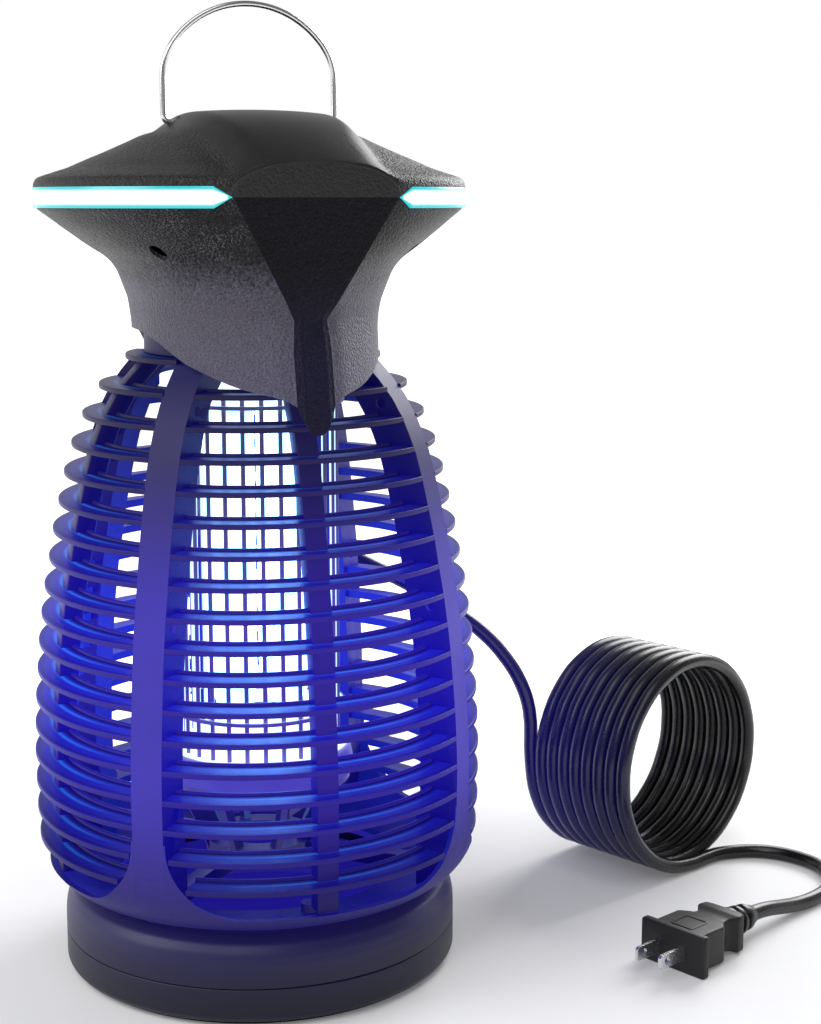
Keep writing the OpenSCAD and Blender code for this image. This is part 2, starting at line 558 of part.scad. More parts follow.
// A spoked basket under the grid, on four arms that reach the broad ribs.
arm_end = fin_r(fin_z0) - rib_depth - 1;
module lamp_support() color("#3a3768") {
    translate([0, 0, cup_bottom - 4]) difference() {
        cylinder(h = 4, r = grid_r + 5);
        translate([0, 0, -1]) cylinder(h = 6, r = grid_r - 2);
    }
    translate([0, 0, valley_z + 9]) difference() {
        cylinder(h = 6, r = 24);
        translate([0, 0, -1]) cylinder(h = 8, r = 15);
    }
    for (a = [0:45:315]) rotate([0, 0, a]) rotate([90, 0, 0]) translate([0, 0, -1.5]) linear_extrude(3)
        polygon([[17, valley_z + 12], [23.5, valley_z + 10], [grid_r + 4, cup_bottom - 1], [grid_r - 1, cup_bottom - 1]]);
    for (a = [45:90:315]) rotate([0, 0, a]) translate([22, -3.5, valley_z + 9]) cube([arm_end - 22, 7, 6]);
}
// Two leads to the lamp, and two that run over the neck plate to one rod of each set
module inner_wires() color("#b02a2a") {
    board_bottom = ring_top + 18.4;
    bend_z = plate_bottom + 5;
    for (x = [-6, 6]) translate([x, 0, plate_bottom]) cylinder(h = board_bottom - plate_bottom, d = 2, $fn = 16);
    for (a = [0, 90]) rotate([0, 0, a]) {
        translate([12, 0, bend_z]) cylinder(h = board_bottom - bend_z, d = 2, $fn = 16);
        translate([12, 0, bend_z]) rotate([0, 90, 0]) cylinder(h = grid_r - 12, d = 2, $fn = 16);
        translate([grid_r, 0, rod_top]) cylinder(h = bend_z - rod_top, d = 2, $fn = 16);
        for (r = [12, grid_r]) translate([r, 0, bend_z]) sphere(d = 2.4, $fn = 16);
    }
}

// --- Base ---------------------------------------------------------------

module base_collar() color("#262447") difference() {
    rotate_extrude() polygon([
        [drop_r, valley_z - 3], [drop_r, valley_z], [valley_r + 0.6, valley_z], [valley_r + 3.5, valley_z - 1],
        [base_r - 3.4, valley_z - 3.6], [base_r - 1.1, valley_z - 7.2], [base_r - 0.2, valley_z - 11.5], [base_r, valley_z - 16],
        [base_r, seam_z + 0.3], [collar_bore, seam_z + 0.3], [collar_bore, valley_z - 13.5],
        [collar_bore - 3, valley_z - 10], [valley_r - 0.5, valley_z - 3.4], [valley_r - 2, valley_z - 3]]);
    for (a = [0:90:270]) rotate([0, 0, a]) translate([base_screw_r, 0, valley_z - 5]) cylinder(h = 7, d = 3.4);
}
module base_screws() color(steel) screws([for (a = [0:90:270]) base_screw_r * [cos(a), sin(a)]], valley_z - 3, true, 8);

module collection_tray() color("#222040") rotate_extrude() polygon([
    [0, tray_bottom], [base_r - 3.5, tray_bottom], [base_r - 1, tray_bottom + 1], [base_r, tray_bottom + 3],
    [base_r, seam_z], [spigot_r, seam_z], [spigot_r, spigot_top], [spigot_r - 2.4, spigot_top],
    [spigot_r - 2.4, tray_bottom + 6], [spigot_r - 5, tray_bottom + base_wall], [0, tray_bottom + base_wall]]);
module foot_ring() color("#0c0c0e") difference() {
    cylinder(h = tray_bottom, r = base_r - 5);
    translate([0, 0, -1]) cylinder(h = tray_bottom + 2, r = base_r - 13);
}

// --- Cord -----------------------------------------------------------------

// Moulded relief with three rings, pointing out of the rear facet.
module cord_gland() color("#111114") on_rear_facet(gland_d) rotate_extrude() polygon([
    [0, -5], [5.2, -5], [6.5, -3.6], [6.5, 0.1], [9, 0.1], [9, 2.6], [6.8, 3.4], [6.5, 8], [5.4, 8.4], [5.4, 10.4],
    [6.2, 10.8], [6, 15], [5, 15.4], [5, 17.4], [5.6, 17.8], [5.4, 22], [4.4, 22.4], [4.4, 29.5], [0, 29.5]]);
module cord_lead() color("#131316") tube(lead_pts, cord_d, 10, [1, 0, 0]);
module cord_tail() color("#131316") tube(tail_pts, cord_d, 10, [0, 0, 1]);
module cord_coil() color("#131316") translate(coil_far) rotate([0, 0, coil_turn + 180]) rotate([-90, 0, 0])
    translate([0, 0, -cord_d / 2]) rotate_extrude() translate([coil_r - cord_d / 2, 0]) square([cord_d, coil_length + cord_d]);

module at_plug() translate(plug_at) rotate([0, 0, plug_turn]) children();
module plug_relief() color("#111114") at_plug() rotate([0, 90, 0]) rotate_extrude() polygon([
    [0, 0], [4.6, 0], [4.8, 4], [6, 4.4], [6.2, 7], [5, 7.4], [5, 9], [6.6, 9.4], [6.8, 12], [5.4, 12.4], [5.4, 14],
    [7.2, 14.4], [7.4, 18], [0, 18]]);
module plug_body() color("#111114") at_plug() difference() {
    union() {
        translate([0, 0, -8.5]) linear_extrude(17) polygon([
            [18, -8], [20, -11], [24, -11.6], [26, -9], [30, -8.4], [34, -11], [37, -13.4], [53, -13.4],
            [53, 13.4], [37, 13.4], [34, 11], [30, 8.4], [26, 9], [24, 11.6], [20, 11], [18, 8]]);
        translate([53, -17.5, -9.5]) cube([3.6, 35, 19]);
    }
    translate([39.5, -5.5, 7.7]) cube([11, 11, 2]);
    for (s = [-1, 1]) translate([45, s * 6.35 - 0.8, -3.2]) cube([20, 1.6, 6.4]);
}
module plug_blades() color("#d9dade") at_plug() for (s = [-1, 1]) difference() {
    translate([45.1, s * 6.35 - 0.75, -3.15]) cube([28, 1.5, 6.3]);
    translate([68.6, s * 6.35, 0]) rotate([90, 0, 0]) translate([0, 0, -2]) cylinder(h = 4, d = 3.1);
    for (t = [-1, 1]) translate([73.1, s * 6.35, t * 3.15]) rotate([0, t * 45, 0]) cube([2, 4, 1.6], center = true);
}

head_top_cover();
head_lower_shell();
light_band_left();
light_band_right();
led_board_left();
led_board_right();
head_screws();
bail_bushes();
bail_handle();
power_board();
transformer();
capacitors();
switch_housing();
switch_rocker();
cage_frame();
grille_front();
grille_right();
grille_rear();
grille_left();
cage_screws();
neck_plate();
lamp_socket();
lamp_base();
lamp_tubes();
grid_top_holder();
grid_live();
grid_neutral();
grid_bottom_holder();
lamp_support();
inner_wires();
base_collar();
base_screws();
collection_tray();
foot_ring();
cord_gland();
cord_lead();
cord_coil();
cord_tail();
plug_relief();
plug_body();
plug_blades();
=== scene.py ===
"""A lantern-shaped electric insect zapper: its looks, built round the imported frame.

Shapes are worked out in millimetres and put into the meshes in metres.
+Z is up, -Y is the front, and the origin is the centre of the base.
"""

import logging
import math
from dataclasses import dataclass, field
from enum import Enum
from typing import Optional, Union

import bmesh
import bpy
import numpy as np
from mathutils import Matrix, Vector


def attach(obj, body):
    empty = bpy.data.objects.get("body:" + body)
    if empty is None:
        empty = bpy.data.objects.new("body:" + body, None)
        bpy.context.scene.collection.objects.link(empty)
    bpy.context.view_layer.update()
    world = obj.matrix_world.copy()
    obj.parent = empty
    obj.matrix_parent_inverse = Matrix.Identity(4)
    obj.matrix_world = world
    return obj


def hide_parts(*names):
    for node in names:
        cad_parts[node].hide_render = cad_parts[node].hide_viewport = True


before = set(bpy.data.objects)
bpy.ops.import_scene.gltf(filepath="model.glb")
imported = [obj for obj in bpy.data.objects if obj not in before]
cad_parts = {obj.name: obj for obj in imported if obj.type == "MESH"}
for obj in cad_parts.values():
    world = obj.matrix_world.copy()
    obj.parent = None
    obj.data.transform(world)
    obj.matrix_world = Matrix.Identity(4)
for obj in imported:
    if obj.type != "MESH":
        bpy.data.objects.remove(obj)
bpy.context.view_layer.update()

LOG = logging.getLogger("zapper")
MM = 0.001
FRONT, RIGHT, REAR, LEFT = 0, 90, 180, 270
Array = np.ndarray
Colour = tuple[float, float, float]
MADE: dict[str, bpy.types.Material] = {}
Number = Union[int, float]


# --- Shape helpers ------------------------------------------------------------


def soft(t: Array) -> Array:
    """The smooth step 3t^2 - 2t^3, with t held between 0 and 1."""
    c = np.clip(t, 0, 1)
    return c * c * (3 - 2 * c)


def smooth_lookup(x: Array, table: list[tuple[float, float]]) -> Array:
    """A curve through a table's points that never overshoots them.

    Cubic pieces join the points. The slope at a point is the harmonic mean of the
    slopes on its two sides, or zero where they differ in sign.

    Args:
        x: Where the curve is read.
        table: Pairs of place and value, in rising order of place.

    Returns:
        The curve's values, in the shape of x.
    """
    xs, ys = np.array(table, float).T
    step = np.diff(xs)
    rise = np.diff(ys) / step
    slope = np.zeros_like(xs)
    same = rise[:-1] * rise[1:] > 0
    both = np.where(same, rise[:-1] + rise[1:], 1)
    slope[1:-1] = np.where(same, 2 * rise[:-1] * rise[1:] / both, 0)
    slope[0], slope[-1] = rise[0], rise[-1]
    x = np.clip(x, xs[0], xs[-1])
    i = np.clip(np.searchsorted(xs, x, side="right") - 1, 0, len(step) - 1)
    t = (x - xs[i]) / step[i]
    return (
        ys[i] * (1 + 2 * t) * (1 - t) ** 2
        + ys[i + 1] * t * t * (3 - 2 * t)
        + slope[i] * step[i] * t * (1 - t) ** 2
        - slope[i + 1] * step[i] * t * t * (1 - t)
    )


def circle(radius: float, sides: int) -> Array:
    """Points of a circle round (0, 0), as rows of two numbers."""
    a = np.linspace(0, 2 * math.pi, sides, endpoint=False)
    return radius * np.stack([np.cos(a), np.sin(a)], axis=1)


def rounded(corners: list[tuple[float, float, float]], steps: int = 4) -> Array:
    """A closed outline with each corner replaced by an arc.

    Each corner gives x, y and its radius. The arc starts and ends where a circle
    of that radius touches the two sides, and a corner of radius 0 stays sharp.

    Args:
        corners: Corner places and radii, in order round the outline.
        steps: Segments in each arc.

    Returns:
        The outline's points, as rows of two numbers.
    """
    out: list[Array] = []
    count = len(corners)
    for i, (x, y, radius) in enumerate(corners):
        here = np.array([x, y])
        back = np.array(corners[i - 1][:2]) - here
        ahead = np.array(corners[(i + 1) % count][:2]) - here
        back_len, ahead_len = np.linalg.norm(back), np.linalg.norm(ahead)
        back, ahead = back / back_len, ahead / ahead_len
        half = math.acos(float(np.clip(back @ ahead, -1, 1))) / 2
        if radius <= 0 or half > 1.55:
            out.append(here[None])
            continue
        cut = min(radius / math.tan(half), 0.49 * back_len, 0.49 * ahead_len)
        radius = cut * math.tan(half)
        middle = back + ahead
        centre = here + middle / np.linalg.norm(middle) * radius / math.sin(half)
        start, end = here + back * cut - centre, here + ahead * cut - centre
        first = math.atan2(start[1], start[0])
        turn = (math.atan2(end[1], end[0]) - first + math.pi) % (2 * math.pi) - math.pi
        a = first + turn * np.linspace(0, 1, steps + 1)
        out.append(centre + radius * np.stack([np.cos(a), np.sin(a)], axis=1))
    return np.concatenate(out)


def turned(points: Array, degrees: float) -> Array:
    """The points turned about the Z axis."""
    a = math.radians(degrees)
    spin = np.array([[math.cos(a), math.sin(a), 0], [-math.sin(a), math.cos(a), 0], [0, 0, 1]])
    return points @ spin


@dataclass
class Surface:
    """A closed surface being put together from grids of points.

    A grid is rows by columns by three. Its faces join each point to the next one in
    both directions, round the ends too where the grid closes on itself.
    """

    points: list[Array] = field(default_factory=list)
    faces: list[list[int]] = field(default_factory=list)
    marks: dict[str, list[Array]] = field(default_factory=dict)
    skins: list[int] = field(default_factory=list)
    count: int = 0

    def grid(
        self,
        points: Array,
        close_rows: bool = False,
        close_cols: bool = True,
        caps: bool = False,
        skin: Union[int, Array] = 0,
        **marks: Array,
    ) -> "Surface":
        """Adds one grid.

        Args:
            points: Rows by columns by three, in millimetres.
            close_rows: Joins the last row to the first.
            close_cols: Joins the last column to the first.
            caps: Closes the first and last rows with one face each.
            skin: The material's number, for all faces or for each column.
            marks: Numbers at the points that a material reads by name.

        Returns:
            This surface.
        """
        rows, cols = points.shape[:2]
        i = np.arange(rows if close_rows else rows - 1)[:, None]
        j = np.arange(cols if close_cols else cols - 1)[None, :]
        a, b = i * cols + j, i * cols + (j + 1) % cols
        k = (i + 1) % rows
        quads = np.stack([a, b, k * cols + (j + 1) % cols, k * cols + j], axis=-1)
        skins = np.broadcast_to(np.asarray(skin), a.shape) if np.ndim(skin) else np.full(a.shape, skin)
        self.faces += (quads.reshape(-1, 4) + self.count).tolist()
        self.skins += skins.ravel().tolist()
        if caps:
            last = self.count + (rows - 1) * cols
            self.faces += [
                list(range(self.count + cols - 1, self.count - 1, -1)),
                list(range(last, last + cols)),
            ]
            self.skins += [int(np.max(skin))] * 2
        self.points.append(points.reshape(-1, 3))
        for name, values in marks.items():
            self.marks.setdefault(name, []).append(np.broadcast_to(values, (rows, cols)).ravel())
        self.count += rows * cols
        return self

    def lathe(self, outline: Array, sides: int = 128, **marks: Array) -> "Surface":
        """Turns a closed outline of radius and height once round the Z axis."""
        a = np.linspace(0, 2 * math.pi, sides, endpoint=False)[:, None]
        r, z = outline[:, 0][None], outline[:, 1][None]
        grid = np.stack([r * np.cos(a), r * np.sin(a), z + 0 * a], axis=-1)
        return self.grid(grid, close_rows=True, **marks)

    def bar(self, path: Array, section: Array, up: Array, caps: bool = True, closed: bool = False) -> "Surface":
        """Carries a flat section along a path.

        Each copy of the section stands square to the path. Its first number runs
        along the sideways direction, which is the path crossed with up, and its
        second along the direction that is square to both.

        Args:
            path: Points to follow, in millimetres.
            section: The section's outline, or one outline for each point.
            up: The direction that the section's second number leans to.
            caps: Closes both ends.
            closed: Joins the path's end to its start.

        Returns:
            This surface.
        """
        if closed:
            along = np.roll(path, -1, axis=0) - np.roll(path, 1, axis=0)
        else:
            along = np.gradient(path, axis=0)
        along /= np.linalg.norm(along, axis=1, keepdims=True)
        side = np.cross(along, up)
        side /= np.linalg.norm(side, axis=1, keepdims=True)
        rise = np.cross(side, along)
        section = np.broadcast_to(section, (len(path),) + section.shape[-2:])
        grid = path[:, None] + side[:, None] * section[..., :1] + rise[:, None] * section[..., 1:]
        return self.grid(grid, close_rows=closed, caps=caps and not closed)

    def mesh(self, name: str, crease: float = 35) -> bpy.types.Object:
        """Makes the object, with doubled points merged and faces pointing outwards.

        Args:
            name: The piece's name.
            crease: Edges that turn more than this many degrees stay sharp.

        Returns:
            The new object, at the origin.
        """
        mesh = bpy.data.meshes.new(name)
        mesh.from_pydata((np.concatenate(self.points) * MM).tolist(), [], self.faces)
        mesh.polygons.foreach_set("material_index", np.array(self.skins, np.int32))
        for mark, values in self.marks.items():
            layer = mesh.attributes.new(mark, "FLOAT", "POINT")
            layer.data.foreach_set("value", np.concatenate(values).astype(np.float32))
        tidy(mesh, crease)
        made = bpy.data.objects.new(name, mesh)
        bpy.context.scene.collection.objects.link(made)
        return made


def tidy(mesh: bpy.types.Mesh, crease: float, flat: float = 0.0) -> None:
    """Merges doubled points, turns faces outwards, and marks sharp edges.

    Args:
        mesh: The mesh that is changed.
        crease: Edges that turn more than this many degrees are sharp.
        flat: Faces that turn less than this many degrees become one face.
    """
    work = bmesh.new()
    work.from_mesh(mesh)
    bmesh.ops.remove_doubles(work, verts=work.verts, dist=2e-6)
    if flat:
        bmesh.ops.dissolve_limit(
            work, angle_limit=math.radians(flat), verts=work.verts, edges=work.edges
        )
    bmesh.ops.recalc_face_normals(work, faces=work.faces)
    work.to_mesh(mesh)
    work.free()
    mesh.shade_smooth()
    mesh.set_sharp_from_angle(angle=math.radians(crease))
    mesh.update()


def soften(piece: bpy.types.Object, width: float, steps: int = 2) -> bpy.types.Object:
    """Rounds a piece's sharp edges by a width in millimetres."""
    bevel = piece.modifiers.new("edges", "BEVEL")
    bevel.width = width * MM
    bevel.segments = steps
    bevel.limit_method = "ANGLE"
    bevel.angle_limit = math.radians(35)
    bevel.use_clamp_overlap = True
    bevel.miter_outer = "MITER_SHARP"
    return piece


def merged_copy(node: str, name: str, crease: float = 30, flat: float = 0.3) -> bpy.types.Object:
    """A copy of a CAD node whose loose faces are joined, standing for that node."""
    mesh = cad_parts[node].data.copy()
    mesh.name = name
    mesh.materials.clear()
    tidy(mesh, crease, flat)
    made = bpy.data.objects.new(name, mesh)
    bpy.context.scene.collection.objects.link(made)
    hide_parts(node)
    return made


def settle(piece: bpy.types.Object) -> bpy.types.Object:
    """Turns a piece's modifiers into its own mesh."""
    graph = bpy.context.evaluated_depsgraph_get()
    piece.data = bpy.data.meshes.new_from_object(piece.evaluated_get(graph))
    piece.modifiers.clear()
    return piece


# --- Material helpers ----------------------------------------------------------


class Signal:
    """A socket of a material's nodes. Arithmetic on it adds Math nodes."""

    def __init__(self, bench: "Bench", socket: bpy.types.NodeSocket) -> None:
        """Keeps the bench that the socket stands on."""
        self.bench = bench
        self.socket = socket

    def maths(self, operation: str, *others: Union["Signal", Number]) -> "Signal":
        """This value and others through one Math node."""
        return self.bench.add("ShaderNodeMath", {"operation": operation}, dict(enumerate((self, *others))))

    def __add__(self, other: Union["Signal", Number]) -> "Signal":
        """The sum."""
        return self.maths("ADD", other)

    __radd__ = __add__

    def __mul__(self, other: Union["Signal", Number]) -> "Signal":
        """The product."""
        return self.maths("MULTIPLY", other)

    __rmul__ = __mul__

    def __sub__(self, other: Union["Signal", Number]) -> "Signal":
        """This less the other."""
        return self.maths("SUBTRACT", other)

    def __rsub__(self, other: Union["Signal", Number]) -> "Signal":
        """The other less this."""
        return self.bench.number(other).maths("SUBTRACT", self)

    def __truediv__(self, other: Union["Signal", Number]) -> "Signal":
        """This over the other."""
        return self.maths("DIVIDE", other)

    def __pow__(self, other: Union["Signal", Number]) -> "Signal":
        """This to a power."""
        return self.maths("POWER", other)

    def __neg__(self) -> "Signal":
        """The opposite."""
        return self * -1

    def __abs__(self) -> "Signal":
        """The size without its sign."""
        return self.maths("ABSOLUTE")

    def least(self, other: Union["Signal", Number]) -> "Signal":
        """The smaller of the two."""
        return self.maths("MINIMUM", other)

    def most(self, other: Union["Signal", Number]) -> "Signal":
        """The larger of the two."""
        return self.maths("MAXIMUM", other)

    def held(self) -> "Signal":
        """The value kept between 0 and 1."""
        return self.most(0).least(1)

    def ramp(self, low: Number, high: Number) -> "Signal":
        """A smooth step from 0 at low to 1 at high. low may be the larger."""
        t = ((self - low) / (high - low)).held()
        return t * t * (3 - 2 * t)

    def bell(self, centre: Number, spread: Number) -> "Signal":
        """A bell curve: 1 at the centre, 0.37 at one spread from it."""
        t = (self - centre) / spread
        return (-(t * t)).maths("EXPONENT")


class Bench:
    """The nodes of one material, whose shader's constants are set directly."""

    def __init__(self, name: str, **constants: object) -> None:
        """Starts a material.

        Args:
            name: The material's name.
            constants: Shader sockets with underscores for spaces, and their values.
        """
        self.material = bpy.data.materials.new("look_" + name)
        self.material.use_nodes = True
        self.tree = self.material.node_tree
        self.shader = self.tree.nodes["Principled BSDF"]
        self.set(**constants)

    def set(self, **sockets: object) -> "Bench":
        """Sets or feeds the shader's sockets. A signal is linked and a number set."""
        for name, value in sockets.items():
            socket = self.shader.inputs[name.replace("_", " ")]
            if isinstance(value, Signal):
                self.tree.links.new(value.socket, socket)
            elif socket.type == "RGBA":
                socket.default_value = (*value, 1)
            else:
                socket.default_value = value
        return self

    def add(
        self,
        kind: str,
        settings: Optional[dict[str, object]] = None,
        values: Optional[dict[object, object]] = None,
        output: Union[int, str] = 0,
    ) -> Signal:
        """Adds one node.

        Args:
            kind: The node's type.
            settings: The node's own settings, which are set first.
            values: Numbers, colours or signals for its sockets, by number or name.
            output: The output that is wanted.

        Returns:
            The output as a signal.
        """
        node = self.tree.nodes.new(kind)
        for key, value in (settings or {}).items():
            if key == "stops":
                ramp = node.color_ramp
                while len(ramp.elements) < len(value):
                    ramp.elements.new(0.5)
                for element, (place, colour) in zip(ramp.elements, value):
                    element.position, element.color = place, (*colour, 1)
            else:
                setattr(node, key, value)
        for key, value in (values or {}).items():
            socket = node.inputs[key]
            if isinstance(value, Signal):
                self.tree.links.new(value.socket, socket)
            elif socket.type == "RGBA" and len(value) == 3:
                socket.default_value = (*value, 1)
            else:
                socket.default_value = value
        return Signal(self, node.outputs[output])

    def number(self, value: Union[Signal, Number]) -> Signal:
        """A plain number as a signal."""
        if isinstance(value, Signal):
            return value
        return self.add("ShaderNodeMath", {"operation": "ADD"}, {0: value, 1: 0})

    def place(self) -> Signal:
        """Where the point is on the object, in metres."""
        return self.add("ShaderNodeTexCoord", output="Object")

    def facing(self) -> Signal:
        """The direction that the surface faces."""
        return self.add("ShaderNodeNewGeometry", output="Normal")

    def parts(self, vector: Signal) -> tuple[Signal, Signal, Signal]:
        """The three numbers of a vector."""
        first = self.add("ShaderNodeSeparateXYZ", values={0: vector})
        outputs = first.socket.node.outputs
        return first, Signal(self, outputs[1]), Signal(self, outputs[2])

    def mark(self, name: str) -> Signal:
        """A number that the mesh keeps at its points."""
        return self.add("ShaderNodeAttribute", {"attribute_name": name}, output="Fac")

    def noise(self, size: float, detail: float = 3, rough: float = 0.6, stretch: Optional[Colour] = None) -> Signal:
        """Cloudy noise between 0 and 1.

        Args:
            size: The width of its largest spots, in millimetres.
            detail: How many finer layers it has.
            rough: How strong the finer layers are.
            stretch: Shrinks the pattern along each axis.

        Returns:
            The noise.
        """
        where = self.place()
        if stretch:
            where = self.add("ShaderNodeMapping", values={"Vector": where, "Scale": stretch})
        return self.add(
            "ShaderNodeTexNoise",
            values={"Vector": where, "Scale": 1 / (size * MM), "Detail": detail, "Roughness": rough},
        )

    def cells(self, size: float, feature: str = "F1") -> Signal:
        """Distance to the nearest of scattered points that lie one size apart."""
        return self.add(
            "ShaderNodeTexVoronoi",
            {"feature": feature},
            {"Vector": self.place(), "Scale": 1 / (size * MM)},
        )

    def mix(self, share: Union[Signal, Number], first: Union[Signal, Colour], second: Union[Signal, Colour]) -> Signal:
        """The first colour where share is 0, and the second where it is 1."""
        return self.add(
            "ShaderNodeMix", {"data_type": "RGBA"}, {0: share, 6: first, 7: second}, output=2
        )

    def tint(self, colour: Union[Colour, Signal], strength: Signal) -> Signal:
        """A colour times a signal, which may be over 1."""
        vector = self.add(
            "ShaderNodeVectorMath", {"operation": "SCALE"}, {0: colour, "Scale": strength}
        )
        return vector

    def sum(self, *colours: Signal) -> Signal:
        """Colours added together."""
        total = colours[0]
        for colour in colours[1:]:
            total = self.add("ShaderNodeVectorMath", {"operation": "ADD"}, {0: total, 1: colour})
        return total

    def bump(self, height: Signal, depth: float, strength: float = 1.0) -> Signal:
        """The surface's direction once a height pattern of a depth in millimetres is on it."""
        return self.add(
            "ShaderNodeBump",
            values={"Height": height, "Distance": depth * MM, "Strength": strength},
            output="Normal",
        )


class Sky(Bench):
    """The nodes of the surrounding light."""

    def __init__(self, name: str) -> None:
        """Starts a world."""
        self.world = bpy.data.worlds.new(name)
        self.world.use_nodes = True
        self.tree = self.world.node_tree
        self.shader = self.tree.nodes["Background"]


def dress(piece: bpy.types.Object, *finishes: "Finish") -> bpy.types.Object:
    """Gives a piece its finishes, one for each material number."""
    if piece.data.materials:
        piece.data.materials.clear()
    for finish in finishes:
        piece.data.materials.append(finish.material())
    return piece


@dataclass(frozen=True)
class Finish:
    """What every finish has: a name, and one material made when first asked for."""

    name: str

    def material(self) -> bpy.types.Material:
        """The finish's one material."""
        if self.name not in MADE:
            MADE[self.name] = self.make()
        return MADE[self.name]

    def make(self) -> bpy.types.Material:
        """Builds the material."""
        raise NotImplementedError


@dataclass(frozen=True)
class GrainedPlastic(Finish):
    """Moulded plastic with a leathery grain, and bright specks painted on its high spots as glints.

    Attributes:
        dark: Colour between the specks.
        speck: Colour of the specks, which are painted glints.
        amount: Share of the painted glint specks.
        grain: Size of the grain in millimetres.
        depth: Depth of the grain in millimetres.
        rough: Roughness.
    """

    dark: Colour
    speck: Colour
    amount: float = 0.4
    grain: float = 1.1
    depth: float = 0.1
    rough: float = 0.5
    gloss: float = 0.3

    def height(self, bench: Bench) -> Signal:
        """The grain's height: pebbles with narrow grooves between them."""
        return bench.noise(self.grain, 3, 0.6) * 0.6 - bench.cells(self.grain * 1.4) * 0.5

    def make(self) -> bpy.types.Material:
        """Builds the material."""
        bench = Bench(self.name, Specular_IOR_Level=self.gloss)
        grain = self.height(bench)
        # Bright specks painted into the colour as glints on the grain.
        painted_glint = bench.noise(self.grain * 0.6, 1, 0.5).ramp(0.62 - 0.2 * self.amount, 0.8) * self.amount
        z = bench.parts(bench.place())[2]
        bench.set(
            Base_Color=bench.mix(painted_glint, self.dark, self.speck),
            Roughness=(grain * 0.25 + self.rough).held(),
            Normal=bench.bump(grain, self.depth),
            # Painted blue lamp light, growing towards the lower part of the head.
            Emission_Color=bench.tint((0.010, 0.008, 0.034), z.ramp(0.312, 0.262) * (painted_glint * 0.5 + 0.5)),
            Emission_Strength=1.0,
        )
        return bench.material


@dataclass(frozen=True)
class NeckPlastic(GrainedPlastic):
    """The lower head's flank: black under the rim, turning below to a lavender grey that is painted light."""

    pale: Colour = (0.08, 0.074, 0.103)
    start: float = 0.3105
    end: float = 0.291

    def make(self) -> bpy.types.Material:
        """Builds the material. The change to the painted light is ragged, because it follows the grain."""
        bench = Bench(self.name, Specular_IOR_Level=self.gloss)
        grain = self.height(bench)
        z = bench.parts(bench.place())[2]
        # Lower down the colour turns to painted light: a lavender grey with darker grain spots.
        ragged = bench.noise(self.grain * 1.6, 2, 0.6) - 0.5
        painted_light_share = (z + ragged * 0.035).ramp(self.start, self.end)
        # Bright specks painted as glints, in patches, on the black under the rim.
        painted_glint = bench.noise(self.grain * 0.8, 1, 0.5).ramp(0.5, 0.7) * bench.noise(22, 2).ramp(0.3, 0.7)
        fine = bench.noise(self.grain * 0.7, 2, 0.6).ramp(0.4, 0.66)
        rim = bench.mix(painted_glint, self.dark, self.speck)
        low = bench.mix(fine * 0.75, self.pale, tuple(0.3 * c for c in self.pale))
        bench.set(
            Base_Color=bench.mix(painted_light_share, rim, low),
            Roughness=(grain * 0.2 + self.rough).held(),
            Normal=bench.bump(grain, self.depth),
            # Painted blue lamp light on the bottom of the flank.
            Emission_Color=bench.tint((0.006, 0.005, 0.02), z.ramp(0.29, 0.26)),
            Emission_Strength=1.0,
        )
        return bench.material


@dataclass(frozen=True)
class DomePlastic(GrainedPlastic):
    """The top cover: a satin ridge, grained flanks with painted glints, and a lens-shaped grained patch with a painted
    highlight along its edge.
    """

    satin: Colour = (0.010, 0.010, 0.011)
    patch: Colour = (0.026, 0.026, 0.027)
    rim_z: float = 0.332
    patch_half: float = 0.0335
    patch_rise: float = 0.0132

    def make(self) -> bpy.types.Material:
        """Builds the material. Marks on the mesh say where the ridge lies."""
        bench = Bench(self.name, Specular_IOR_Level=self.gloss)
        ridge = bench.mark("ridge")
        x, y, z = bench.parts(bench.place())
        across, up = x / self.patch_half, (z - self.rim_z) / self.patch_rise
        lens_r = across * across + up * up
        wall = abs(y).ramp(0.0815, 0.083)
        lens = lens_r.ramp(1.03, 0.97) * wall
        # A painted highlight line along the edge of the lens patch.
        lip = lens_r.bell(1.03, 0.06) * wall
        grain = self.height(bench)
        # Bright specks painted as glints on the grained flanks.
        painted_glint = bench.noise(self.grain * 0.6, 1, 0.5).ramp(0.52, 0.75) * self.amount
        flank = bench.mix(painted_glint, self.dark, self.speck)
        cover = bench.mix(ridge.ramp(0.25, 0.8), flank, self.satin)
        cloudy = bench.mix(bench.noise(14, 2) * 0.5, (0, 0, 0), (0.006, 0.006, 0.006))
        patch = bench.mix(grain.ramp(0.35, 0.6), tuple(0.55 * c for c in self.patch), self.patch)
        colour = bench.mix(lens, bench.sum(cover, cloudy), patch)
        textured = (1 - ridge.ramp(0.1, 0.75) * 0.93).most(lens)
        bench.set(
            Base_Color=bench.mix(lip * 0.5, colour, (0.05, 0.05, 0.052)),
            Roughness=(grain * 0.2 * textured + self.rough).held(),
            Normal=bench.bump(grain * textured + lens * -1.5, self.depth),
        )
        return bench.material


@dataclass(frozen=True)
class LitBand(Finish):
    """A clear band lit from behind: a white core between cyan edges."""

    core: Colour = (1.06, 1.1, 1.1)
    edge: Colour = (0.01, 0.62, 0.66)

    def make(self) -> bpy.types.Material:
        """Builds the material. A mark runs from 0 at the middle to 1 at the edges."""
        bench = Bench(self.name, Roughness=0.2, Emission_Strength=1.0)
        away = bench.mark("away")
        fade = away.ramp(0.5, 0.86)
        cloud = bench.noise(9, 1).ramp(0.2, 0.8) * 0.1
        glow = bench.mix((fade + cloud * fade).held(), self.core, self.edge)
        bench.set(
            Base_Color=bench.mix(away.ramp(0.9, 1), (0.02, 0.03, 0.03), (0.01, 0.05, 0.055)),
            Emission_Color=glow,
            Roughness=0.2 + cloud,
        )
        return bench.material


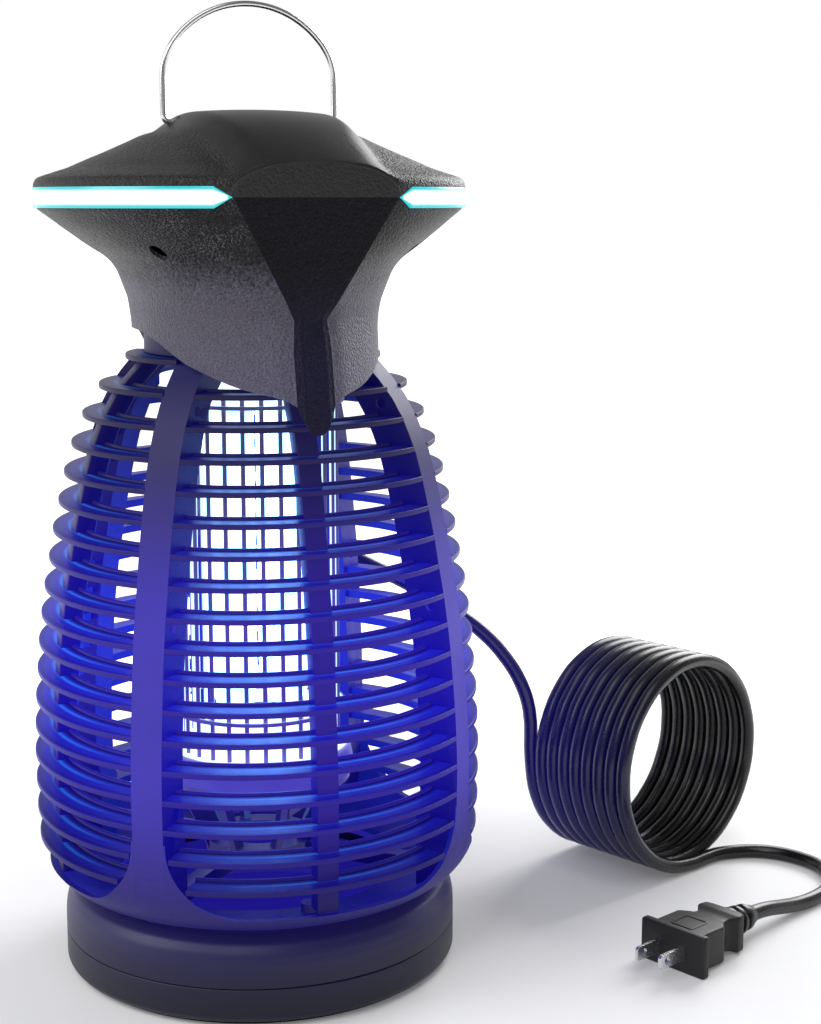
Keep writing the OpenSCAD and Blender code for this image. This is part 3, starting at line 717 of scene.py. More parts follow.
@dataclass(frozen=True)
class LampGlass(Finish):
    """Ultraviolet tube glass: near-white middle, cyan towards its sides."""

    core: Colour = (1.6, 3.6, 7.5)

    def make(self) -> bpy.types.Material:
        """Builds the material. The coating is streaked along the tube."""
        bench = Bench(self.name, Roughness=0.15, Emission_Strength=1.0)
        streak = bench.noise(2.2, 3, 0.6, (1, 1, 0.02)).ramp(0.35, 0.75)
        z = bench.parts(bench.place())[2]
        cap = z.ramp(0.236, 0.2455).most(z.ramp(0.128, 0.12) * 0.5)
        glow = bench.mix(streak * 0.5, self.core, (0.8, 2.8, 6.5))
        bench.set(
            Base_Color=bench.mix(cap, (0.7, 0.75, 0.9), (0.25, 0.28, 0.4)),
            Emission_Color=bench.mix(cap * 0.8, glow, (0.25, 0.3, 1.6)),
        )
        return bench.material


@dataclass(frozen=True)
class CagePlastic(Finish):
    """Navy plastic round the lamp, with the lamp's blue light painted into it.

    The painted light is strongest at mid height. A face that looks outwards shows
    violet, a side face deep blue, a top face royal blue, and a face that looks at
    the lamp a bright blue.

    Attributes:
        body: Colour of the plastic itself.
        out: Painted lamp light on faces that look outwards.
        side: Painted lamp light on side faces.
        top: Painted lamp light on faces that look up.
        inward: Painted lamp light on faces that look at the lamp.
        grey: What the painted outward light turns to at the top and the bottom.
        level: Strength of all the painted light.
        middle: Height of the strongest painted light, in metres.
        spread: How far it reaches up and down, in metres.
        line: Strength of the painted reflection of the lamp, a bright line along each fin's top face.
    """

    body: Colour = (0.008, 0.007, 0.02)
    out: Colour = (0.08, 0.06, 0.50)
    side: Colour = (0.008, 0.004, 0.36)
    top: Colour = (0.012, 0.010, 0.50)
    inward: Colour = (0.012, 0.02, 0.6)
    grey: Colour = (0.045, 0.042, 0.085)
    level: float = 1.0
    middle: float = 0.135
    spread: float = 0.075
    line: float = 0.0
    rough: float = 0.3
    gloss: float = 0.45

    def make(self) -> bpy.types.Material:
        """Builds the material."""
        bench = Bench(self.name, Specular_IOR_Level=self.gloss, Emission_Strength=1.0)
        where = bench.place()
        z = bench.parts(where)[2]
        flat = bench.add("ShaderNodeVectorMath", {"operation": "MULTIPLY"}, {0: where, 1: (1, 1, 0)})
        outward = bench.add("ShaderNodeVectorMath", {"operation": "NORMALIZE"}, {0: flat})
        normal = bench.facing()
        facing = bench.add(
            "ShaderNodeVectorMath", {"operation": "DOT_PRODUCT"}, {0: normal, 1: outward}, output="Value"
        )
        upward = bench.parts(normal)[2]
        lit = z.bell(self.middle, self.spread) * 0.94 + 0.06
        seen = (facing * 1.25 - 0.15).held()
        back = (-facing * 1.3).held()
        above = (upward * 1.5 - 0.5).held()
        flank = (1 - seen - back - above).held()
        cloud = bench.noise(30, 2) * 0.25 + 0.87
        speck = bench.noise(0.5, 2, 0.7)
        violet = bench.mix(lit.ramp(0.05, 0.9), self.grey, self.out)
        depth = bench.mark("depth")
        # Painted shade on each fin's top face, near its lip and near its outer rim, where a line strength is set.
        shade = 1 - depth.bell(0.82, 0.1) * 0.75 - depth.bell(0.12, 0.08) * 0.5 if self.line else bench.number(1)
        # Painted lamp light by the way each face looks, and a painted reflection of the lamp along each fin's top
        # face.
        glow = bench.sum(
            bench.tint(violet, seen * cloud * self.level),
            bench.tint(self.side, flank * lit * self.level),
            bench.tint(self.top, above * lit * self.level * shade),
            bench.tint(self.inward, back * lit * self.level),
            bench.tint((0.02, 0.28, 0.72),
            above * depth.bell(0.55, 0.07) * bench.mark("arc") * z.bell(0.15, 0.11) * self.line),
        )
        bench.set(
            Base_Color=bench.mix(speck * 0.3, self.body, tuple(1.6 * c for c in self.body)),
            Emission_Color=glow,
            Roughness=self.rough + speck * 0.08,
            Normal=bench.bump(speck, 0.012),
        )
        return bench.material


@dataclass(frozen=True)
class BasePlastic(Finish):
    """Navy satin plastic of the collar and tray, darkest towards the floor."""

    body: Colour = (0.011, 0.009, 0.05)
    low: Colour = (0.004, 0.0035, 0.014)

    def make(self) -> bpy.types.Material:
        """Builds the material, with a faint mould grain, a little dust, and painted blue lamp light on its upper part
        and inside.
        """
        bench = Bench(self.name, Specular_IOR_Level=0.4, Emission_Strength=1.0)
        x, y, z = bench.parts(bench.place())
        fine = bench.noise(0.6, 2, 0.7)
        deep = z.ramp(0.03, 0.002)
        across = x * x + y * y
        # Painted blue lamp light on the faces inside the collar and tray.
        inside = across.ramp(0.0765**2, 0.0745**2).most(across.ramp(0.0812**2, 0.0802**2) * z.ramp(0.0315, 0.0305))
        # Painted blue lamp light, stronger higher up, with random clouding.
        glow = z.ramp(0.02, 0.04) * 0.8 + bench.noise(25, 2) * 0.15
        bench.set(
            Base_Color=bench.mix((deep + fine * 0.12).held(), self.body, self.low),
            Roughness=0.4 + fine * 0.1,
            Emission_Color=bench.sum(
                bench.tint((0.007, 0.005, 0.055), glow), bench.tint((0.010, 0.006, 0.22), inside)
            ),
            Normal=bench.bump(fine, 0.01),
        )
        return bench.material


@dataclass(frozen=True)
class BrushedSteel(Finish):
    """Bright wire or rod with faint marks along it.

    Attributes:
        colour: The metal's colour.
        rough: Roughness.
        stretch: Shrinks the marks along each axis.
    """

    colour: Colour = (0.62, 0.62, 0.64)
    rough: float = 0.16
    stretch: Colour = (1.0, 1.0, 0.08)

    def make(self) -> bpy.types.Material:
        """Builds the material."""
        bench = Bench(self.name, Metallic=1.0)
        marks = bench.noise(0.5, 3, 0.7, self.stretch)
        cloud = bench.noise(9, 2)
        bench.set(
            Base_Color=bench.mix(cloud * 0.4, self.colour, tuple(0.72 * c for c in self.colour)),
            Roughness=marks * 0.14 + self.rough,
            Normal=bench.bump(marks, 0.008),
        )
        return bench.material


@dataclass(frozen=True)
class RodSteel(BrushedSteel):
    """Grid rods with painted lamp light: bright where they look at the lamp, violet where they look outwards."""

    def make(self) -> bpy.types.Material:
        """Builds the material."""
        bench = Bench(self.name, Metallic=0.6, Emission_Strength=1.0)
        marks = bench.noise(0.4, 3, 0.7, self.stretch)
        where = bench.place()
        z = bench.parts(where)[2]
        flat = bench.add("ShaderNodeVectorMath", {"operation": "MULTIPLY"}, {0: where, 1: (1, 1, 0)})
        outward = bench.add("ShaderNodeVectorMath", {"operation": "NORMALIZE"}, {0: flat})
        facing = bench.add(
            "ShaderNodeVectorMath", {"operation": "DOT_PRODUCT"}, {0: bench.facing(), 1: outward}, output="Value"
        )
        # Painted lamp light: grey violet high up and deep violet low down on outer faces, bright on inner faces.
        low = z.ramp(0.24, 0.14)
        dim = bench.mix(low, (0.035, 0.035, 0.075), (0.045, 0.022, 0.30))
        bench.set(
            Base_Color=bench.mix(marks * 0.4, self.colour, tuple(0.7 * c for c in self.colour)),
            Roughness=marks * 0.15 + self.rough,
            Emission_Color=bench.mix(facing.ramp(0.1, -0.3), dim, (0.75, 1.1, 1.3)),
        )
        return bench.material


@dataclass(frozen=True)
class CordJacket(Finish):
    """Black flex, with the lamp's blue light painted on the side that lies near it."""

    body: Colour = (0.003, 0.003, 0.004)

    def make(self) -> bpy.types.Material:
        """Builds the material."""
        bench = Bench(self.name, Specular_IOR_Level=0.5, Emission_Strength=1.0)
        x, y, _ = bench.parts(bench.place())
        fine = bench.noise(0.35, 2, 0.6)
        # Painted blue lamp light on the part of the cord nearest the lamp.
        near = (x - y * 0.35).ramp(0.215, 0.10)
        bench.set(
            Base_Color=bench.mix(fine * 0.5, self.body, (0.006, 0.006, 0.008)),
            Roughness=0.22 + fine * 0.1,
            Emission_Color=bench.tint((0.006, 0.003, 0.11), near),
            Normal=bench.bump(fine, 0.012),
        )
        return bench.material


@dataclass(frozen=True)
class PlainPlastic(Finish):
    """Small moulded parts: one colour with mould grain and slight clouding.

    Attributes:
        colour: The part's colour.
        rough: Roughness.
        grain: Size of the grain in millimetres.
        glow: Painted lamp light on the part.
    """

    colour: Colour
    rough: float = 0.45
    grain: float = 0.7
    glow: Colour = (0.0, 0.0, 0.0)

    def make(self) -> bpy.types.Material:
        """Builds the material."""
        bench = Bench(self.name, Specular_IOR_Level=0.4, Emission_Strength=1.0)
        fine, cloud = bench.noise(self.grain, 2, 0.7), bench.noise(8, 2)
        shade = (fine * 0.4 + cloud * 0.5).held()
        bench.set(
            Base_Color=bench.mix(shade, self.colour, tuple(0.68 * c for c in self.colour)),
            Roughness=self.rough + fine * 0.12,
            # Painted lamp light, with random clouding.
            Emission_Color=bench.tint(self.glow, cloud * 0.5 + 0.75),
            Normal=bench.bump(fine, 0.02),
        )
        return bench.material


@dataclass(frozen=True)
class HolderPlastic(PlainPlastic):
    """White plastic at the ends of the lamp, with the lamp's light painted on: white where it floods the inside,
    violet elsewhere.
    """

    def make(self) -> bpy.types.Material:
        """Builds the material."""
        bench = Bench(self.name, Specular_IOR_Level=0.4, Emission_Strength=1.0)
        x, y, z = bench.parts(bench.place())
        fine = bench.noise(self.grain, 2, 0.7)
        # Painted lamp light: bright white near the lamp and over the top holder, and a dim violet copy of the white
        # plastic elsewhere.
        near = (x * x + y * y).ramp(0.0405**2, 0.0385**2)
        painted_flood = (near * z.ramp(0.16, 0.12)).most(z.ramp(0.225, 0.24))
        bench.set(
            Base_Color=bench.mix((painted_flood - fine * 0.2).held(), (0.07, 0.06, 0.22), self.colour),
            Roughness=self.rough + fine * 0.12,
            Emission_Color=bench.mix(painted_flood, tuple(g * 0.9 for g in self.glow), (1.1, 1.3, 1.6)),
            Normal=bench.bump(fine, 0.02),
        )
        return bench.material


@dataclass(frozen=True)
class BoardFibre(Finish):
    """Green circuit board with darker tracks and bright pads."""

    def make(self) -> bpy.types.Material:
        """Builds the material."""
        bench = Bench(self.name, Specular_IOR_Level=0.5)
        tracks = bench.add(
            "ShaderNodeTexBrick",
            {"offset": 0.3},
            {"Vector": bench.place(), "Scale": 160.0, "Color1": (0.02, 0.12, 0.05), "Color2": (0.03, 0.18, 0.08),
            "Mortar": (0.01, 0.05, 0.03)},
        )
        pads = bench.cells(2.4).ramp(0.22, 0.18)
        bench.set(
            Base_Color=bench.mix(pads, tracks, (0.5, 0.45, 0.3)),
            Roughness=0.35 + bench.noise(1.0) * 0.2,
        )
        return bench.material


HEAD_DOME = DomePlastic("head_dome", (0.004, 0.004, 0.0043), (0.05, 0.05, 0.053), 0.8, 0.9, 0.9, 0.42, 0.26)
HEAD_FLANK = NeckPlastic("head_flank", (0.003, 0.003, 0.0034), (0.09, 0.09, 0.1), 0.8, 0.9, 0.9, 0.45, 0.2)
HEAD_FACET = GrainedPlastic("head_facet", (0.002, 0.002, 0.0035), (0.014, 0.013, 0.026), 0.7, 1.0, 0.8, 0.5, 0.12)
BAND_LIGHT = LitBand("band_light")
BAIL_WIRE = BrushedSteel("bail_wire", (0.66, 0.66, 0.67), 0.12)
CAGE_RIBS = CagePlastic("cage_ribs", grey=(0.013, 0.011, 0.042), out=(0.045, 0.030, 0.42), rough=0.42, gloss=0.14)
CAGE_FINS = CagePlastic("cage_fins", out=(0.022, 0.010, 0.27), grey=(0.008, 0.007, 0.026), line=0.5, rough=0.34,
    gloss=0.1)
BASKET = CagePlastic("basket", level=0.7, inward=(0.02, 0.1, 0.7))
BASE_SHELL = BasePlastic("base_shell")
GRID_STEEL = RodSteel("grid_steel", (0.10, 0.09, 0.16), 0.3)
LAMP_GLASS = LampGlass("lamp_glass")
WHITE_HOLDER = HolderPlastic("white_holder", (0.3, 0.3, 0.36), 0.4, 0.8, (0.05, 0.035, 0.42))
CORD_JACKET = CordJacket("cord_jacket")
PLUG_PLASTIC = PlainPlastic("plug_plastic", (0.010, 0.010, 0.011), 0.42, 0.6)
BLADE_STEEL = BrushedSteel("blade_steel", (0.75, 0.75, 0.76), 0.2, (0.1, 1.0, 1.0))
SCREW_STEEL = BrushedSteel("screw_steel", (0.45, 0.45, 0.46), 0.3)
BUSH_PLASTIC = PlainPlastic("bush_plastic", (0.03, 0.03, 0.032))
SWITCH_BLACK = PlainPlastic("switch_black", (0.012, 0.012, 0.013), 0.35)
ROCKER_RED = PlainPlastic("rocker_red", (0.35, 0.02, 0.012), 0.3)
FOOT_RUBBER = PlainPlastic("foot_rubber", (0.01, 0.01, 0.01), 0.75, 0.5)
BOARD_GREEN = BoardFibre("board_green")
CORE_TAPE = PlainPlastic("core_tape", (0.5, 0.3, 0.04), 0.4, 1.5)
CASE_BLUE = PlainPlastic("case_blue", (0.03, 0.07, 0.3), 0.35)
WIRE_RED = PlainPlastic("wire_red", (0.4, 0.02, 0.02), 0.4)


# --- The object's sub-assemblies -------------------------------------------------


class Body(Enum):
    """The moving bodies."""

    LANTERN = "lantern"
    BAIL = "bail"
    TRAY = "tray"
    ROCKER = "rocker"


def ready(piece: bpy.types.Object, body: Body, slot: str, *nodes: str) -> bpy.types.Object:
    """Puts a finished piece on its body, in place of CAD nodes."""
    if nodes:
        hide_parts(*nodes)
    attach(piece, body.value)
    LOG.info("%s: %d faces on %s", piece.name, len(piece.data.polygons) if piece.type == "MESH" else 0, body.value)
    return piece


@dataclass
class Camera:
    """The camera, in metres, looking down its own direction."""

    place: Colour = (-0.235, -0.746, 0.331)
    forward: Colour = (0.3756, 0.9113, -0.1685)
    lens: float = 64.16

    def build(self) -> None:
        """Makes the scene's camera."""
        data = bpy.data.cameras.new("camera")
        data.lens = self.lens
        data.clip_start, data.clip_end = 0.02, 50
        camera = bpy.data.objects.new("camera", data)
        camera.location = self.place
        camera.rotation_euler = Vector(self.forward).to_track_quat("-Z", "Y").to_euler()
        bpy.context.scene.collection.objects.link(camera)
        bpy.context.scene.camera = camera


@dataclass
class Cord:
    """The mains cord: out of the head, down behind, through the coil, to the plug.

    Attributes:
        lead: The route's points from the relief to the coil.
        tail: The route's points from the coil to the plug.
        far: Centre of the coil's far turn.
        run: Direction of the coil's axis on the floor.
        length: Length of the coil between its end turns.
        radius: Radius of the coil at the cord's middle.
        turns: Turns in the coil.
        diameter: Thickness of the cord.
        real: The cord's whole length in metres. Not used.
    """

    lead: list[tuple[float, float, float]] = field(
        default_factory=lambda: [
            (0, 106, 292.2), (1, 118, 288), (2, 128, 279), (4, 134, 267), (7, 135, 252),
            (12, 133, 236), (18, 129, 220), (26, 123, 204), (35, 116, 190), (46, 108, 178),
            (58, 99, 168), (71, 89, 160), (84, 80, 153), (97, 73, 146), (110, 67, 138),
            (123, 62, 129), (135, 57, 119), (145, 53, 107), (152, 49, 94), (156, 47, 80),
        ]
    )  # fmt: skip
    tail: list[tuple[float, float, float]] = field(
        default_factory=lambda: [
            (236, 9.5, 3.5), (246, 12.5, 3.5), (256, 12, 3.5), (266, 9, 3.5),
            (275, 2, 3.5), (281, -8, 3.5), (284, -20, 3.5), (282, -32, 3.5), (276, -43, 3.5),
            (267, -51, 3.5), (255, -57, 3.5), (243, -61.5, 4.5), (232, -65.7, 6.5), (221, -69.8, 8.6),
            (210, -74, 9.5),
        ]
    )  # fmt: skip
    far: tuple[float, float, float] = (205, 64, 55)
    run: tuple[float, float, float] = (0.3535, -0.9354, 0)
    length: float = 61.9
    radius: float = 51.5
    turns: float = 8.25
    diameter: float = 7.0
    real: float = 3.3

    def coil(self) -> Array:
        """The coil: a circle that moves along its axis as it turns."""
        t = np.linspace(0, 1, int(self.turns * 16) + 1)[:, None]
        a = math.pi + 2 * math.pi * self.turns * t
        run = np.array(self.run)
        side = np.array([-run[1], run[0], 0])
        around = np.cos(a) * side + np.sin(a) * np.array([0, 0, 1.0])
        return np.array(self.far) + run * self.length * t + self.radius * around

    def build(self, *pieces: bpy.types.Object) -> bpy.types.Object:
        """Makes the cord as one curve, in place of the CAD cord nodes."""
        line = np.concatenate([self.lead, self.coil(), self.tail]) * MM
        data = bpy.data.curves.new("mains_cord", "CURVE")
        data.dimensions = "3D"
        data.bevel_depth = self.diameter / 2 * MM
        data.bevel_resolution = 5
        data.resolution_u = 4
        data.use_fill_caps = True
        spline = data.splines.new("BEZIER")
        spline.bezier_points.add(len(line) - 1)
        spline.bezier_points.foreach_set("co", line.ravel())
        for point in spline.bezier_points:
            point.handle_left_type = point.handle_right_type = "AUTO"
        cord = bpy.data.objects.new("mains_cord", data)
        bpy.context.scene.collection.objects.link(cord)
        data.materials.append(CORD_JACKET.material())
        ready(cord, Body.LANTERN, "cord_jacket", "cord_lead", "cord_coil", "cord_tail")
        return cord


@dataclass
class Plug:
    """The two-blade plug lying flat on the floor.

    Attributes:
        at: Where the cord enters the relief.
        turn: Direction of the blades, in degrees about Z.
    """

    at: tuple[float, float, float] = (210, -74, 9.5)
    turn: float = 200.7

    def placed(self, points: Array) -> Array:
        """Points of the plug's own frame, which runs along X, put in their place."""
        return turned(points, self.turn) + np.array(self.at)

    def relief(self) -> bpy.types.Object:
        """The ribbed relief: a profile turned round the cord."""
        profile = rounded(
            [(0, 0, 0), (0, 4.4, 0.6), (3.6, 4.9, 0.8), (4.4, 6, 0.6), (7, 6.2, 0.6), (7.2, 5, 0.4), (9.2, 5, 0.4),
             (9.6, 6.6, 0.6), (12, 6.8, 0.6), (12.2, 5.4, 0.4), (14.2, 5.4, 0.4), (14.6, 7.2, 0.6),
             (18, 7.4, 0.4), (18, 0, 0)], 3
        )  # fmt: skip
        a = np.linspace(0, 2 * math.pi, 48, endpoint=False)[None]
        x, r = profile[:, :1], profile[:, 1:]
        grid = np.stack([x + 0 * a, r * np.cos(a), r * np.sin(a)], axis=-1)
        piece = Surface().grid(self.placed(grid.reshape(-1, 3)).reshape(grid.shape)).mesh("plug_relief_ribs")
        dress(piece, CORD_JACKET)
        return ready(piece, Body.LANTERN, "cord_jacket", "plug_relief")

    def body(self) -> bpy.types.Object:
        """The body: a rounded box section that narrows at the grip, then the flange."""
        stations = [
            (18, 8, 7.6), (18.4, 8.8, 8.1), (20, 11, 8.5), (23.4, 11.6, 8.5), (24.4, 11.4, 8.4), (26, 9.4, 7.8),
            (29, 8.4, 7.4), (31.5, 8.8, 7.6), (34, 10.8, 8.2), (36.6, 13, 8.5), (38, 13.4, 8.5), (53, 13.4, 8.5),
            (53, 16.9, 9.0), (53.2, 17.4, 9.4), (53.5, 17.5, 9.5), (56, 17.5, 9.5), (56.4, 17.3, 9.3),
            (56.6, 16.8, 9.0),
        ]  # fmt: skip
        rows = []
        for x, wide, high in stations:
            outline = rounded([(wide, high, 1.3), (-wide, high, 1.3), (-wide, -high, 1.3), (wide, -high, 1.3)], 4)
            rows.append(np.column_stack([np.full(len(outline), x), outline]))
        grid = np.array(rows)
        body = Surface().grid(self.placed(grid.reshape(-1, 3)).reshape(grid.shape), caps=True)
        inset = rounded([(39.5, -5.5, 0.6), (50.5, -5.5, 0.6), (50.5, 5.5, 0.6), (39.5, 5.5, 0.6)], 3)
        frame_top = []
        for grow, z in ((0.5, 8.3), (0.5, 8.72), (0.25, 8.85), (-0.15, 8.85), (-0.35, 8.6), (-0.5, 8.3)):
            middle = inset.mean(0)
            out = middle + (inset - middle) * (1 + grow / 5.5)
            frame_top.append(np.column_stack([out, np.full(len(out), z)]))
        ring = np.array(frame_top)
        body.grid(self.placed(ring.reshape(-1, 3)).reshape(ring.shape), close_rows=True)
        piece = body.mesh("plug_body_shell", 40)
        dress(piece, PLUG_PLASTIC)
        return ready(piece, Body.LANTERN, "plug_plastic", "plug_body")

    def blades(self) -> bpy.types.Object:
        """The blades' CAD solids with their edges eased."""
        piece = soften(merged_copy("plug_blades", "plug_blades_steel", 30, 1.0), 0.2, 2)
        dress(piece, BLADE_STEEL)
        return ready(piece, Body.LANTERN, "plated_blade")


@dataclass
class Head:
    """The lens-shaped head: cover, lower shell, bands and bail.

    Heights with d count down from the rim. q runs round a quarter of the plan: the
    flat facet from 0 to 3, and the curved side from 3 to 15.
    """

    rim_z: float = 332.0
    radius: float = 90.0
    flat_y: float = 83.61
    flat_w: float = 33.31
    neck_a: float = 49.126
    neck_b: float = 75.61
    tip_b: float = 83.77
    wall: float = 2.3
    pivot_z: float = 362.5
    a_table: tuple[tuple[float, float], ...] = (
        (-91, 0), (-54, 0), (-47, 0.02), (-42, 0.035), (-37.5, 0.07), (-34, 0.1),
        (-30.4, 0.134), (-27, 0.19), (-24, 0.27), (-21, 0.39), (-18, 0.505),
        (-15, 0.61), (-11.5, 0.735), (-8, 0.85), (-4, 0.976), (-2, 0.996), (0, 1),
    )  # fmt: skip

    def half_x(self, d: Array) -> Array:
        """Half-width of the plan at a depth."""
        return self.neck_a + (self.radius - self.neck_a) * smooth_lookup(d, list(self.a_table))

    def half_y(self, d: Array) -> Array:
        """Distance of the facet from the axis at a depth."""
        high = self.neck_b + (self.flat_y - self.neck_b) * (d + 47) / 47
        low = self.neck_b + (self.tip_b - self.neck_b) * (-47 - d) / 44
        return np.where(d > -47, high, low)

    def facet_w(self, d: Array) -> Array:
        """Half-width of the facet at a depth."""
        high = 6.7 + (self.flat_w - 6.7) * (d + 47) / 47
        low = 6.7 + 1.1 * np.clip((-47 - d) / 12, 0, 1)
        return np.where(d > -47, high, low)

    def side_cos(self, q: Array, phi: Array) -> Array:
        """How far round the side a place is: 1 at the facet's edge and 0 at the side."""
        return np.cos(phi + (math.pi / 2 - phi) * np.clip((q - 3) / 12, 0, 1)) / np.cos(phi)

    def plan(self, q: Array, d: Array, inset: float = 0.0) -> tuple[Array, Array]:
        """The plan's X and Y for one quarter.

        The facet is a straight line. The side is an ellipse near the rim and turns
        to a fuller, wing-like curve towards the neck.

        Args:
            q: Places round the quarter.
            d: Heights below the rim, as negative numbers.
            inset: How far the outline is moved inwards.

        Returns:
            X and Y, both positive.
        """
        a, b = self.half_x(d) - inset, self.half_y(d) - inset
        w = self.facet_w(d) - 0.4 * inset
        phi = np.arcsin(np.minimum(0.9, w / a))
        c = self.side_cos(q, phi)
        k = soft((d + 34) / 30)
        wing = w + (a - w) * (1 - np.clip(c, 0, 1) ** 2.5)
        oval = a * np.sqrt(np.maximum(0, 1 - c * c * np.cos(phi) ** 2))
        x = np.where(q <= 3, w * q / 3, wing + (oval - wing) * k)
        y = np.where(q <= 3, b, b * c)
        return x, y

    def around(self, sharp: int, curved: int) -> tuple[Array, Array, Array]:
        """Places round the whole plan, with the sign of X and Y at each."""
        q = np.concatenate([np.linspace(0, 3, sharp, endpoint=False), np.linspace(3, 15, curved + 1)])
        n = len(q) - 1
        i = np.arange(4 * n)
        part = i // n
        index = np.where(part % 2 == 0, i % n, n - i % n)
        sign_x = np.where(part < 2, 1, -1)
        sign_y = np.where((part == 0) | (part == 3), -1, 1)
        return q[index], sign_x, sign_y

    def hem(self, q: Array, sign_y: Array) -> Array:
        """Depth of the lower edge: a pointed tip at the facet, high at the sides.

        The rear tip is narrower than the front one.
        """
        c = self.side_cos(q, np.full(q.shape, math.asin(7.8 / self.neck_a)))
        side = smooth_lookup(
            c,
            [(0, -54.3), (0.25, -57.3), (0.45, -63), (0.52, -65.6), (0.6, -67.8), (0.8, -73.8), (0.95, -77), (1, -80)],
        )
        side = np.where(sign_y < 0, side, -54.3 + (side + 54.3) * soft((c - 0.45) / 0.4))
        tip = -91 + 11 * (np.clip(q, 0, 3) / 3) ** 2.2
        return np.where(q <= 3, tip, side)

    def dome(self, x: Array, y: Array) -> Array:
        """Height of the cover: a flattened dome with a ridge across its middle."""
        r = np.hypot(x, y)
        along = 1 - 0.85 * np.minimum(1, np.abs(y) / self.flat_y) ** 2.4
        half = 36 - 6 * np.minimum(1, np.abs(y) / (0.78 * self.flat_y)) ** 1.6
        t = np.abs(x) / half
        ridge = 6.7 * along * soft((1.14 - t) / 0.44) * (1 - 0.08 * t * t)
        table = [(0.44, 0), (0.5, 0.6), (0.585, 2.4), (0.707, 4), (0.828, 4.4), (0.91, 3.3), (0.98, 1.9), (1, 1.7)]
        sink = soft((t - 0.7) / 0.44) * smooth_lookup(r / self.radius, table)
        return self.rim_z + 29 - 19 * (r / (0.978 * self.radius)) ** 2.8 + ridge - sink

    def ridge_mark(self, x: Array, y: Array) -> Array:
        """1 on the ridge and 0 off it."""
        half = 36 - 6 * np.minimum(1, np.abs(y) / (0.78 * self.flat_y)) ** 1.6
        return soft((1.14 - np.abs(x) / half) / 0.3)

    def cover(self) -> bpy.types.Object:
        """The upper cover, its edge rolled over to the rim, with an inner face."""
        q, sx, sy = self.around(8, 44)
        share = np.concatenate([[0.0], np.linspace(0.02, 1, 64)])[:, None]
        x0, y0 = self.plan(q, np.zeros_like(q))
        edge = np.where(q <= 3, 0.6 + 0 * q, 0.6 + 1.4 * soft((q - 3) / 0.6))
        rows_x, rows_y, rows_z, ridge = [], [], [], []
        for s in share[:-1, 0]:
            x1, y1 = self.plan(q, np.zeros_like(q), 0)
            k = 1 - edge / np.hypot(x1, y1)
            x, y = s * x1 * k, s * y1 * k
            rows_x.append(x), rows_y.append(y), rows_z.append(self.dome(x, y)), ridge.append(self.ridge_mark(x, y))
        for t in np.linspace(0, 1, 6):
            inset = edge * (1 - math.sin(t * math.pi / 2))
            k = 1 - inset / np.hypot(x0, y0)
            x, y = x0 * k, y0 * k
            drop = 1.4 * edge * (1 - math.cos(t * math.pi / 2))
            rows_x.append(x), rows_y.append(y)
            rows_z.append(self.dome(x, y) - drop)
            ridge.append(self.ridge_mark(x, y))
        for z in (self.rim_z + 4, self.rim_z):
            for rows, row in ((rows_x, x0), (rows_y, y0), (rows_z, np.full_like(x0, z)), (ridge, np.zeros_like(x0))):
                rows.append(row)
        for s, lift in ((0.97, 0.0), (0.965, None), (0.7, None), (0.4, None), (0.0, None)):
            x, y = s * x0, s * y0
            z = np.full_like(x0, self.rim_z) if lift is not None else self.dome(x, y) - self.wall
            if s == 0.965:
                z = self.dome(x, y) - self.wall - 2
            for rows, row in ((rows_x, x), (rows_y, y), (rows_z, z), (ridge, np.zeros_like(x0))):
                rows.append(row)
        grid = np.stack([np.array(rows_x) * sx, np.array(rows_y) * sy, np.array(rows_z)], axis=-1)
        piece = Surface().grid(grid, ridge=np.array(ridge)).mesh("head_cover_shell", 50)
        dress(piece, HEAD_DOME)
        return ready(piece, Body.LANTERN, "head_black", "head_top_cover")

    def skirt(self) -> bpy.types.Object:
        """The lower shell: flared under the rim, waisted, with draped pointed tips."""
        q, sx, sy = self.around(12, 48)
        depths = np.concatenate([np.linspace(0, -47, 60), np.zeros(20)])[:, None]
        share = np.concatenate([np.zeros(60), np.linspace(0.05, 1, 20)])[:, None]
        d = np.where(share > 0, -47 + (self.hem(q, sy) + 47) * share, depths + 0 * q)
        x, y = self.plan(q + 0 * d, d)
        strip = soft((-38 - d) / 9)
        bevel = np.where(q <= 3, soft((q - 1.6) / 1.4), 1 - soft((q - 3) / 2.2))
        y = y - 1.5 * strip * bevel
        groove = strip * np.exp(-(((q - 1.55) / 0.22) ** 2))
        y = y - 0.35 * groove
        outer = np.stack([x * sx, y * sy, self.rim_z + d], axis=-1)
        x2, y2 = self.plan(q + 0 * d, d, 2.2)
        inner = np.stack([x2 * sx, (y2 - 1.2 * strip * bevel) * sy, self.rim_z + d + 0.3 * (share > 0.9)],
            axis=-1)[::-1]
        hem_round = []
        for t in (0.25, 0.5, 0.75):
            edge = outer[-1] * (1 - t) + inner[0] * t
            edge[:, 2] -= 0.45 * math.sin(math.pi * t)
            hem_round.append(edge)
        grid = np.concatenate([outer, np.array(hem_round), inner])
        facet = np.array([1 if (q[i] + q[(i + 1) % len(q)]) / 2 < 3 else 0 for i in range(len(q))])
        piece = Surface().grid(grid, close_rows=True, skin=facet).mesh("head_lower_skin", 24)
        wells = Surface()
        for a in (42, 138, 222, 318):
            p = turned(np.array([[71.0, 0, 0]]), a)[0]
            ring = circle(3.7, 32)
            low = np.column_stack([ring + p[:2], np.full(32, 295.0)])
            high = np.column_stack([ring + p[:2], np.full(32, 322.2)])
            wells.grid(np.array([low, high]), caps=True)
        cutter = wells.mesh("well_cutter")
        cut = piece.modifiers.new("wells", "BOOLEAN")
        cut.object, cut.operation, cut.solver = cutter, "DIFFERENCE", "EXACT"
        dress(piece, HEAD_FLANK, HEAD_FACET)
        settle(piece)
        piece.data.set_sharp_from_angle(angle=math.radians(24))
        bpy.data.objects.remove(cutter)
        return ready(piece, Body.LANTERN, "head_black", "head_lower_shell")

